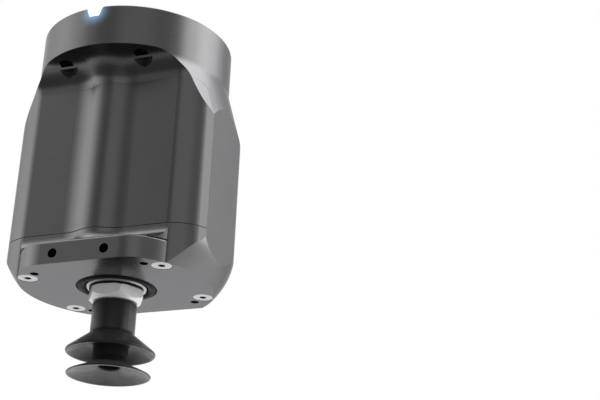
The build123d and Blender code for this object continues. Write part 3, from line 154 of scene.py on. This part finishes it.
def anodised(name, colour, rough=0.27):
    """Bead-blasted anodised aluminium: even grey, a very fine grain, edges rubbed lighter."""
    g, material = new_material(name)
    cloud = g.remap(g.noise(45, 4), 0.98, 1.02)
    base = g.tint(colour, cloud)
    rubbed = g.math("MULTIPLY", g.edges(0.15 * MM), g.remap(g.noise(700, 3), 0.0, 0.12))
    base = g.mix(rubbed, base, (0.3, 0.3, 0.31, 1))
    grain = g.bump(g.noise(4200, 2), 0.003 * MM, g.rounded(0.12 * MM), 0.1)
    # a painted glow: the metal next to the status light emits a faint blue halo of its own
    away = g.vector("DISTANCE", g.place(), LIGHT_SPOT)
    painted_halo = g.math("POWER", g.remap(away, 1.0, 0.0, 0.0, 9 * MM, smooth=True), 2.2)
    g.surface(
        {
            "Base Color": base,
            "Metallic": 1.0,
            "Roughness": g.remap(g.noise(120, 3), rough - 0.01, rough + 0.01),
            "Specular Tint": (0.56, 0.56, 0.57, 1),
            "Normal": grain,
            "Emission Color": (0.32, 0.62, 1.0, 1),
            "Emission Strength": g.math("MULTIPLY", painted_halo, 0.75),
        }
    )
    return material


def machined(name, colour, rough, lines=0.0, edge=0.25):
    """Bare or plated metal. lines above 0 adds lathe marks in circles round the vertical axis."""
    g, material = new_material(name)
    cloud = g.remap(g.noise(160, 3), 0.94, 1.05)
    base = g.tint(colour, cloud)
    bright = tuple(min(1.0, c * 1.25) for c in colour)
    base = g.mix(g.math("MULTIPLY", g.edges(0.2 * MM), edge), base, (*bright, 1))
    roughness = g.remap(g.noise(380, 3), rough - 0.05, rough + 0.06)
    if lines:
        flat = g.vector("MULTIPLY", g.place(), (1, 1, 0))
        radius = g.vector("LENGTH", flat)
        rings = g.math("SINE", g.math("MULTIPLY", radius, 2 * math.pi / (0.16 * MM)))
        height = g.bump(rings, 0.004 * MM, g.rounded(0.15 * MM), lines)
    else:
        height = g.bump(g.noise(3000, 2), 0.006 * MM, g.rounded(0.15 * MM), 0.3)
    g.surface(
        {
            "Base Color": base,
            "Metallic": 1.0,
            "Roughness": roughness,
            "Specular Tint": (0.8, 0.8, 0.8, 1),
            "Normal": height,
        }
    )
    return material


HEXAGON_TOP = -101.6 * MM


def nickel(name):
    """Turned parts of the port: a darker collar above, a pale satin hexagon below it."""
    g, material = new_material(name)
    height = g.node("ShaderNodeSeparateXYZ", {0: g.place()}).outputs["Z"]
    pale = g.remap(height, 1.0, 0.0, HEXAGON_TOP - 0.05 * MM, HEXAGON_TOP + 0.05 * MM)
    cloud = g.remap(g.noise(220, 3), 0.96, 1.04)
    base = g.mix(pale, g.tint((0.36, 0.36, 0.37), cloud), g.tint((0.8, 0.8, 0.81), cloud))
    g.surface(
        {
            "Base Color": base,
            "Metallic": g.remap(pale, 1.0, 0.35, 0.0, 1.0),
            "Roughness": g.remap(g.noise(380, 3), 0.28, 0.36),
            "Normal": g.bump(g.noise(2600, 2), 0.004 * MM, g.rounded(0.15 * MM), 0.25),
        }
    )
    return material


def stacked(name):
    """Thin sheet-steel laminations, stacked along X."""
    g, material = new_material(name)
    across = g.node("ShaderNodeSeparateXYZ", {0: g.place()}).outputs["X"]
    sheets = g.math("SINE", g.math("MULTIPLY", across, 2 * math.pi / (0.5 * MM)))
    g.surface(
        {
            "Base Color": g.tint((0.16, 0.16, 0.17), g.remap(sheets, 0.75, 1.15, -1, 1)),
            "Metallic": 0.85,
            "Roughness": g.remap(g.noise(500), 0.4, 0.6),
            "Normal": g.bump(sheets, 0.03 * MM, None, 0.6),
        }
    )
    return material


def winding(name):
    """Enamelled copper wire wound in even layers round an upright bobbin."""
    g, material = new_material(name)
    height = g.node("ShaderNodeSeparateXYZ", {0: g.place()}).outputs["Z"]
    wires = g.math("SINE", g.math("MULTIPLY", height, 2 * math.pi / (0.3 * MM)))
    g.surface(
        {
            "Base Color": g.tint((0.5, 0.2, 0.09), g.remap(wires, 0.6, 1.2, -1, 1)),
            "Metallic": 0.9,
            "Roughness": g.remap(g.noise(700), 0.25, 0.4),
            "Normal": g.bump(wires, 0.06 * MM, None, 0.8),
        }
    )
    return material


# --- Plastics and rubbers ------------------------------------------------------------------
def plastic(name, colour, rough=0.5, grain=900):
    """Injection-moulded plastic with a fine spark-eroded texture."""
    g, material = new_material(name)
    base = g.tint(colour, g.remap(g.noise(60, 3), 0.92, 1.08))
    g.surface(
        {
            "Base Color": base,
            "Roughness": g.remap(g.noise(300, 3), rough - 0.06, rough + 0.06),
            "Specular IOR Level": 0.45,
            "Normal": g.bump(g.noise(grain, 3), 0.02 * MM, g.rounded(0.2 * MM), 0.35),
        }
    )
    return material


def rubber(name, colour, rough=0.42, dust=0.02, shine=0.5):
    """Moulded rubber: satin, with a light bloom."""
    g, material = new_material(name)
    cloud = g.noise(90, 5, 0.6)
    base = g.tint(colour, g.remap(cloud, 0.8, 1.2))
    bloom = g.math("MULTIPLY", g.remap(g.noise(420, 4, 0.65), 0.0, 1.0, 0.45, 0.8), dust * 8)
    base = g.mix(bloom, base, tuple(c + dust for c in colour) + (1,))
    skin = g.bump(g.noise(1800, 4, 0.6), 0.015 * MM, g.rounded(0.15 * MM), 0.4)
    g.surface(
        {
            "Base Color": base,
            "Roughness": g.remap(g.noise(240, 4), rough - 0.07, rough + 0.09),
            "Specular IOR Level": shine,
            "Sheen Weight": 0.06,
            "Sheen Roughness": 0.4,
            "Normal": skin,
        }
    )
    return material


def circuit_board(name):
    """Green solder mask with darker copper tracks."""
    g, material = new_material(name)
    cells = g.node(
        "ShaderNodeTexVoronoi",
        {"Vector": g.place(), "Scale": 420.0, "Randomness": 0.35},
        feature="DISTANCE_TO_EDGE",
        distance="MANHATTAN",
    )
    tracks = g.remap(cells.outputs["Distance"], 1.0, 0.0, 0.03, 0.08)
    base = g.mix(tracks, (0.012, 0.11, 0.045, 1), (0.03, 0.2, 0.09, 1))
    g.surface(
        {
            "Base Color": base,
            "Roughness": g.remap(g.noise(500), 0.25, 0.4),
            "Normal": g.bump(tracks, 0.03 * MM, None, 0.5),
        }
    )
    return material


def lit_window(name):
    """Translucent light guide, glowing cool white in the middle and bluer at its edge."""
    g, material = new_material(name)
    away = g.vector("DISTANCE", g.place(), LIGHT_SPOT)
    core = g.remap(away, 1.0, 0.0, 0.5 * MM, 4.5 * MM, smooth=True)
    frost = g.remap(g.noise(1500, 3), 0.9, 1.1)
    glow = g.mix(core, (0.35, 0.66, 1.0, 1), (0.93, 0.98, 1.0, 1))
    strength = g.math("MULTIPLY", g.remap(core, 0.9, 1.5, 0.0, 1.0), frost)
    g.surface(
        {
            "Base Color": (0.8, 0.9, 1.0, 1),
            "Roughness": g.remap(g.noise(900), 0.2, 0.35),
            "Emission Color": glow,
            "Emission Strength": strength,
        }
    )
    return material


MATERIALS = {
    "anodised": anodised("anodised", (0.175, 0.175, 0.178)),
    "anodised_base": anodised("anodised_base", (0.185, 0.185, 0.188)),
    "light_window": lit_window("light_window"),
    "circuit_board": circuit_board("circuit_board"),
    "steel": machined("steel", (0.5, 0.5, 0.51), 0.3),
    "bright_steel": machined("bright_steel", (0.46, 0.46, 0.47), 0.26, edge=0.0),
    "plated_steel": machined("plated_steel", (0.4, 0.4, 0.41), 0.3, edge=0.1),
    "turned_metal": nickel("turned_metal"),
    "laminations": stacked("laminations"),
    "copper": winding("copper"),
    "brass": machined("brass", (0.72, 0.53, 0.25), 0.27, lines=0.4),
    "gold": machined("gold", (0.95, 0.7, 0.32), 0.2),
    "black_plastic": plastic("black_plastic", (0.022, 0.022, 0.024)),
    "white_plastic": plastic("white_plastic", (0.68, 0.67, 0.63), 0.4),
    "seal_rubber": rubber("seal_rubber", (0.004, 0.004, 0.004), 0.6, 0.002, 0.12),
    "cup_rubber": rubber("cup_rubber", (0.009, 0.009, 0.0095), 0.36, 0.006, 0.42),
    "hose": rubber("hose", (0.06, 0.06, 0.065), 0.4),
    "cable": rubber("cable", (0.02, 0.02, 0.022), 0.45),
}

for part in frame["record"]["subparts"]:
    mesh = frame["nodes"][part["node"]].data
    mesh.materials.clear()
    mesh.materials.append(MATERIALS[part["material_slot"]])


# --- Mesh work -----------------------------------------------------------------------------
def add_mesh(name, points, faces, slot, body, sharp=35):
    """A new piece from points in millimetres, smooth except at its sharp edges."""
    mesh = bpy.data.meshes.new(name)
    mesh.from_pydata([Vector(p) * MM for p in points], [], faces)
    mesh.validate()
    mesh.polygons.foreach_set("use_smooth", [True] * len(mesh.polygons))
    mesh.set_sharp_from_angle(angle=math.radians(sharp))
    mesh.materials.append(MATERIALS[slot])
    piece = bpy.data.objects.new(name, mesh)
    bpy.context.scene.collection.objects.link(piece)
    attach(piece, body)
    return piece


def curve(*control, count=12):
    """Points along a Bezier curve of any degree through its control points."""
    points = []
    for i in range(count + 1):
        level, t = [Vector(c) for c in control], i / count
        while len(level) > 1:
            level = [a.lerp(b, t) for a, b in zip(level, level[1:])]
        points.append(tuple(level[0]))
    return points


def arc(centre, radius, start, end, count=8):
    """Points on an arc, with angles in degrees from +X."""
    angles = [math.radians(start + (end - start) * i / count) for i in range(count + 1)]
    return [(centre[0] + radius * math.cos(a), centre[1] + radius * math.sin(a)) for a in angles]


def lathe(name, profile, slot, body, centre=(0, 0), steps=192, wave=None):
    """Turn a closed (radius, z) profile about a vertical axis through centre."""
    points, faces = [], []
    count = len(profile)
    for s in range(steps):
        a = 2 * math.pi * s / steps
        for r, z in profile:
            r = r + (wave(a, r) if wave else 0)
            points.append((centre[0] + r * math.cos(a), centre[1] + r * math.sin(a), z))
    for s in range(steps):
        here, there = s * count, (s + 1) % steps * count
        for i in range(count):
            j = (i + 1) % count
            faces.append((here + j, here + i, there + i, there + j))
    return add_mesh(name, points, faces, slot, body)


def sweep(name, path, rings, slot, body, sides=32):
    """A tube along a path. rings are (outer radius, inner radius or None)."""
    outer, inner = rings
    path = [Vector(p) for p in path]
    points, faces = [], []
    loops = [outer] if inner is None else [outer, inner]
    side = None
    for i, here in enumerate(path):
        ahead = path[min(i + 1, len(path) - 1)] - path[max(i - 1, 0)]
        ahead.normalize()
        if side is None:
            side = ahead.orthogonal().normalized()
        side = (side - ahead * side.dot(ahead)).normalized()
        other = ahead.cross(side)
        for radius in loops:
            for k in range(sides):
                a = 2 * math.pi * k / sides
                points.append(here + (side * math.cos(a) + other * math.sin(a)) * radius)
    stride = sides * len(loops)
    for i in range(len(path) - 1):
        for k in range(sides):
            n = (k + 1) % sides
            a, b = i * stride + k, i * stride + n
            faces.append((a, b, b + stride, a + stride))
            if inner is not None:
                a, b = a + sides, b + sides
                faces.append((b, a, a + stride, b + stride))
    last = (len(path) - 1) * stride
    if inner is None:
        faces.append(tuple(reversed(range(sides))))
        faces.append(tuple(range(last, last + sides)))
    else:
        for k in range(sides):
            n = (k + 1) % sides
            faces.append((n, k, k + sides, n + sides))
            faces.append((last + k, last + n, last + n + sides, last + k + sides))
    return add_mesh(name, points, faces, slot, body)


# --- Suction cup -----------------------------------------------------------------------------
# Radii and heights in millimetres, read from the CAD solids the pieces stand for.
bellows_low, bellows_high = (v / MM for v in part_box("suction_cup_bellows"))
lip_low, lip_high = (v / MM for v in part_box("suction_cup_lip"))
NECK_TOP = bellows_high.z
WAIST = bellows_low.z
SKIRT_R = bellows_high.x
LIP_R = lip_high.x
LIP_Z = lip_low.z
NECK_R = 8.3
STEM_R = 5.7
NECK_END = NECK_TOP - 11.3
WAIST_R = 6.9
COLUMN_R = 6.5
BORE_R = 4.0
RIM_Z = WAIST + 3.6


def flash(angle, radius):
    """The faint parting line that the two mould halves leave on the outside of the neck."""
    half_width, height, turn = 0.05, 0.07, 0.35
    near = min(abs(math.sin(angle + turn)), half_width) / half_width
    return height * (1 - near) if radius > COLUMN_R else 0.0


def cup_neck():
    """The stiff sleeve that grips the barbed stem."""
    top = arc((NECK_R - 0.9, NECK_TOP - 0.9), 0.9, 90, 0)
    bottom = [(NECK_R, NECK_TOP - 1.6), (NECK_R, NECK_END + 2), (NECK_R, NECK_END)]
    inside = [(STEM_R, NECK_END), (STEM_R, NECK_TOP - 0.35), (STEM_R + 0.35, NECK_TOP)]
    profile = top + bottom + inside
    piece = lathe("cup_neck", profile, "cup_rubber", "body", wave=flash)
    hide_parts("suction_cup_bellows")


def cup_fold():
    """The single bellows fold: a flared skirt with a thin rim, then back in to the waist."""
    shoulder = curve((NECK_R, NECK_END), (NECK_R, NECK_END - 0.9), (NECK_R + 0.9, NECK_END - 1.5))
    rim = arc((SKIRT_R - 0.55, RIM_Z), 0.55, 50, -70)
    under = curve(
        (SKIRT_R - 0.9, RIM_Z - 0.5),
        (SKIRT_R - 2.6, RIM_Z + 0.5),
        (COLUMN_R + 1.6, NECK_END - 2.6),
        (COLUMN_R, NECK_END - 3.8),
        (COLUMN_R, NECK_END - 6),
        count=20,
    )
    column = curve(
        (COLUMN_R, WAIST + 2), (COLUMN_R, WAIST + 1), (WAIST_R - 0.1, WAIST + 0.6), (WAIST_R, WAIST)
    )
    inside = [(BORE_R, WAIST), (BORE_R, NECK_END - 1), (STEM_R, NECK_END)]
    under += column + inside
    piece = lathe("cup_fold", shoulder + rim + under, "cup_rubber", "body")
    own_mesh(piece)


def cup_lip():
    """The sealing lip: a thin flare with a flat sealing land and a hollow underside."""
    flare = curve(
        (WAIST_R, WAIST),
        (WAIST_R + 0.1, WAIST - 1.1),
        (WAIST_R + 2.4, WAIST - 1.8),
        (LIP_R - 3.2, LIP_Z + 1.9),
        (LIP_R - 0.15, LIP_Z + 0.5),
        count=20,
    )
    edge = arc((LIP_R - 0.3, LIP_Z + 0.3), 0.3, 10, -90, 6)
    under = curve(
        (LIP_R - 1.0, LIP_Z),
        (LIP_R - 1.3, LIP_Z + 0.1),
        (LIP_R - 3.5, LIP_Z + 1.1),
        (BORE_R + 3.0, WAIST - 2.6),
        (BORE_R + 0.3, WAIST - 2.0),
        count=16,
    )
    bore = [(BORE_R, WAIST - 1.7), (BORE_R, WAIST)]
    piece = lathe("cup_lip", flare + edge + under + bore, "cup_rubber", "cup_lip")
    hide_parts("suction_cup_lip")


cup_neck()
cup_fold()
cup_lip()


# --- Other soft pieces ------------------------------------------------------------------------
HOSE_R = 2.6
HOSE_BORE_R = 1.5
HOSE_BEND_R = 4
HOSE_LEAD = 1.3  # straight stretch on the nozzle
CABLE_R = 1.6
STEPS_PER_TURN = 28


def o_ring(node):
    """An O-ring with its fine mould line, in the space of its CAD solid."""
    low, high = (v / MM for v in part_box(node))
    wire = (high.z - low.z) / 2
    middle = high.x - wire
    profile = arc((middle, low.z + wire), wire, 0, 350, 35)
    profile[0] = (middle + wire + 0.03, low.z + wire)
    piece = lathe(node + "_mesh", profile, "seal_rubber", "body")
    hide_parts(node)


def hose(node, path, radii, slot):
    """A soft tube in the space of its CAD solid."""
    piece = sweep(node + "_mesh", path, radii, slot, "body")
    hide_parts(node)


def hoses():
    """Two elbows on the pump's nozzles: one goes down to the block, one across to the muffler."""
    low, high = (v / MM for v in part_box("suction_hose"))
    x = (low.x + high.x) / 2
    back, front = high.y, low.y + HOSE_R
    top, bottom = high.z - HOSE_R, low.z
    path = [(x, back, top), (x, back - HOSE_LEAD, top)]
    for away, up in arc((0, 0), HOSE_BEND_R, 90, 180):
        path.append((x, front + HOSE_BEND_R + away, top - HOSE_BEND_R + up))
    path += [(x, front, (top - HOSE_BEND_R + bottom) / 2), (x, front, bottom)]
    hose("suction_hose", path, (HOSE_R, HOSE_BORE_R), "hose")
    low, high = (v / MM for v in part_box("exhaust_hose"))
    x, back, front = high.x - HOSE_R, high.y, low.y + HOSE_R
    path = [(x, back, top), (x, back - HOSE_LEAD, top)]
    for across, ahead in arc((0, 0), HOSE_BEND_R, 0, 90):
        path.append((x - HOSE_BEND_R + across, front + HOSE_BEND_R - ahead, top))
    path += [((x - HOSE_BEND_R + low.x) / 2, front, top), (low.x, front, top)]
    hose("exhaust_hose", path, (HOSE_R, HOSE_BORE_R), "hose")


def cable():
    """The sheathed lead from the contact board down to the control board."""
    low, high = (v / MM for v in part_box("interface_cable"))
    y = low.y + CABLE_R
    end = high.y - CABLE_R
    path = curve(
        (0, y, high.z),
        (0, y, high.z - 14),
        (0, y + 1, high.z - 19),
        (0, end - 1, high.z - 19),
        (0, end, high.z - 22),
        (0, end, low.z),
        count=28,
    )
    hose("interface_cable", path, (CABLE_R, None), "cable")


def spring(node, centre, radius, wire, turns):
    """A ground-end compression spring."""
    low, high = (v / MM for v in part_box(node))
    bottom, top = low.z + wire, high.z - wire
    path, count = [], int(turns * STEPS_PER_TURN)
    for i in range(count + 1):
        t = i / count
        a = 2 * math.pi * turns * t
        rise = min(max((t * turns - 0.5) / (turns - 1), 0), 1)
        x = centre[0] + radius * math.cos(a)
        path.append((x, centre[1] + radius * math.sin(a), bottom + (top - bottom) * rise))
    piece = sweep(node + "_mesh", path, (wire, None), "steel", "body", sides=10)
    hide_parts(node)
    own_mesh(piece)


def diaphragm():
    """A rolling membrane: a moving centre under the rod and a clamped rim round it."""
    low, high = (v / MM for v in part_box("diaphragm"))
    centre = ((low.x + high.x) / 2, (low.y + high.y) / 2)
    edge, top, base = (high.x - low.x) / 2, high.z, low.z
    middle = [(0.01, base + 0.4), (5.2, base + 0.4), (5.4, base + 0.7), (5.2, top), (0.01, top)]
    piece = lathe("diaphragm_centre", middle, "seal_rubber", "pump_rod", centre, 96)
    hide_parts("diaphragm")
    roll = curve((5.5, top - 0.2), (6.2, top), (6.9, top), (7.6, top - 0.6), count=10)
    rim = [(edge, top - 0.6), (edge, base), (7.5, base)]
    under = curve((7.2, base + 0.3), (6.8, top - 0.7), (6.2, top - 0.7), (5.5, top - 0.7), count=10)
    lathe("diaphragm_rim", roll + rim + under, "seal_rubber", "body", centre, 96)


o_ring("port_seal_ring")
o_ring("block_seal")
hoses()
cable()
check_low, check_high = (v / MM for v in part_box("check_valve_poppet"))
spring(
    "check_valve_spring",
    ((check_low.x + check_high.x) / 2, (check_low.y + check_high.y) / 2),
    2.0,
    0.25,
    5,
)
plunger_low, plunger_high = (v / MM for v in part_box("release_valve_plunger"))
spring(
    "release_valve_spring",
    ((plunger_low.x + plunger_high.x) / 2, (plunger_low.y + plunger_high.y) / 2),
    2.2,
    0.3,
    5,
)
diaphragm()


# --- Studio ----------------------------------------------------------------------------------
def direction(azimuth, elevation):
    """A unit vector. Azimuth 0 is towards -Y and 90 towards +X; elevation is above level."""
    a, e = math.radians(azimuth), math.radians(elevation)
    return Vector((math.sin(a) * math.cos(e), -math.cos(a) * math.cos(e), math.sin(e)))


# Brightness of the studio by azimuth, in three bands of elevation. The front is kept dim
# and the back and the right are bright, as when dark metal is photographed on white.
LOW_BAND = (
    (-180, 1.3), (-150, 1.35), (-115, 1.0), (-85, 0.6), (-50, 0.13), (-10, 0.1), (30, 0.2),
    (70, 0.3), (100, 0.9), (140, 1.3), (180, 1.3),
)
MIDDLE_BAND = (
    (-180, 1.0), (-134, 1.35), (-73, 1.6), (-52, 1.05), (-32, 0.36), (-18, 0.2), (-8, 0.2),
    (10, 0.5), (31, 0.52), (52, 0.34), (73, 0.22), (80, 0.4), (87, 2.2), (96, 1.7),
    (112, 3.2), (135, 2.6), (148, 1.4), (158, 1.0), (180, 1.0),
)
HIGH_BAND = (
    (-180, 1.0), (-90, 1.5), (-55, 1.2), (-38, 0.7), (-12, 0.3), (20, 0.2), (60, 0.1),
    (76, 0.6), (88, 2.8), (112, 3.4), (138, 3.3), (152, 1.6), (180, 1.0),
)
PEAK = 4.0


def band(g, turn, stops):
    """Brightness round the horizon, from a few (azimuth, brightness) stops."""
    made = g.node("ShaderNodeValToRGB", {0: turn})
    ramp = made.color_ramp
    ramp.interpolation = "EASE"
    for azimuth, level in stops:
        if abs(azimuth) == 180:
            stop = ramp.elements[0 if azimuth < 0 else -1]
        else:
            stop = ramp.elements.new((azimuth + 180) / 360)
        stop.color = (level / PEAK, level / PEAK, level / PEAK, 1)
    return made.outputs[0]


def backdrop():
    """White to the eye, while the metal reflects a brightness that depends on the direction."""
    world = bpy.data.worlds.new("studio")
    world.use_nodes = True
    bpy.context.scene.world = world
    g = Graph(world.node_tree)
    seen = g.node("ShaderNodeTexCoord").outputs["Generated"]
    split = g.node("ShaderNodeSeparateXYZ", {0: seen}).outputs
    ahead = g.math("MULTIPLY", split["Y"], -1.0)
    turn = g.remap(g.math("ARCTAN2", split["X"], ahead), 0.0, 1.0, -math.pi, math.pi)
    height = split["Z"]
    above = g.remap(height, 0.0, 1.0, -0.16, 0.02, smooth=True)
    high = g.remap(height, 0.0, 1.0, 0.42, 0.72, smooth=True)
    level = g.mix(above, band(g, turn, LOW_BAND), band(g, turn, MIDDLE_BAND))
    level = g.mix(high, level, band(g, turn, HIGH_BAND))
    overhead = g.remap(height, 0.0, 1.0, 0.9, 0.97, smooth=True)
    level = g.mix(overhead, level, (0.3, 0.3, 0.3, 1))
    below = g.remap(height, 1.0, 0.0, -0.95, -0.75, smooth=True)
    level = g.mix(below, level, (0.08, 0.08, 0.08, 1))
    lit = g.node("ShaderNodeBackground", {"Color": level, "Strength": PEAK})
    plain = g.node("ShaderNodeBackground", {"Color": (1, 1, 1, 1), "Strength": 1.0})
    camera_ray = g.node("ShaderNodeLightPath").outputs["Is Camera Ray"]
    both = g.node("ShaderNodeMixShader", {0: camera_ray, 1: lit.outputs[0], 2: plain.outputs[0]})
    out = g.node("ShaderNodeOutputWorld")
    g.tree.links.new(both.outputs[0], out.inputs["Surface"])


TARGET = Vector((0, 0, -0.06))


def softbox(name, azimuth, elevation, distance, width, height, radiance, sheen=1.0):
    """A rectangular studio light aimed at the gripper."""
    data = bpy.data.lights.new(name, "AREA")
    data.shape = "RECTANGLE"
    data.size, data.size_y = width, height
    data.energy = radiance * math.pi * width * height
    data.specular_factor = sheen
    lamp = bpy.data.objects.new(name, data)
    away = direction(azimuth, elevation)
    lamp.location = TARGET + away * distance
    lamp.rotation_mode = "QUATERNION"
    lamp.rotation_quaternion = away.to_track_quat("Z", "Y")
    lamp.visible_camera = False
    lamp.visible_glossy = sheen > 0
    bpy.context.scene.collection.objects.link(lamp)


def floor():
    """A large pale floor, far enough below to leave room for the low camera."""
    size, drop = 4.0, -0.75
    mesh = bpy.data.meshes.new("floor")
    corners = [(-size, -size, drop), (size, -size, drop), (size, size, drop), (-size, size, drop)]
    mesh.from_pydata(corners, [], [(0, 1, 2, 3)])
    piece = bpy.data.objects.new("floor", mesh)
    bpy.context.scene.collection.objects.link(piece)
    g, material = new_material("floor_paint")
    g.surface(
        {
            "Base Color": g.tint((0.82, 0.82, 0.82), g.remap(g.noise(3, 3), 0.98, 1.02)),
            "Roughness": 0.7,
        }
    )
    mesh.materials.append(material)
    piece.visible_glossy = False
    piece.visible_diffuse = False
    piece.visible_shadow = False


def camera():
    """Low in front and to the right, looking up, as a long lens sees it."""
    data = bpy.data.cameras.new("camera")
    data.sensor_width = 36.0
    data.lens = 76.19
    data.clip_start, data.clip_end = 0.01, 50
    eye = bpy.data.objects.new("camera", data)
    right = Vector((0.94032, 0.33849, 0.03508))
    up = Vector((0.10171, -0.37792, 0.92024))
    back = right.cross(up)
    turn = Matrix((right, up, back)).transposed().to_4x4()
    eye.matrix_world = Matrix.Translation(Vector((0.223148, -0.400403, -0.253722))) @ turn
    bpy.context.scene.collection.objects.link(eye)
    bpy.context.scene.camera = eye


backdrop()
softbox("top", 0, 90, 1.6, 2.4, 2.4, 0.8)
softbox("fill", 20, -24, 1.2, 0.7, 0.6, 3.6, sheen=0.0)
floor()
camera()
bpy.context.scene.view_settings.view_transform = "Standard"
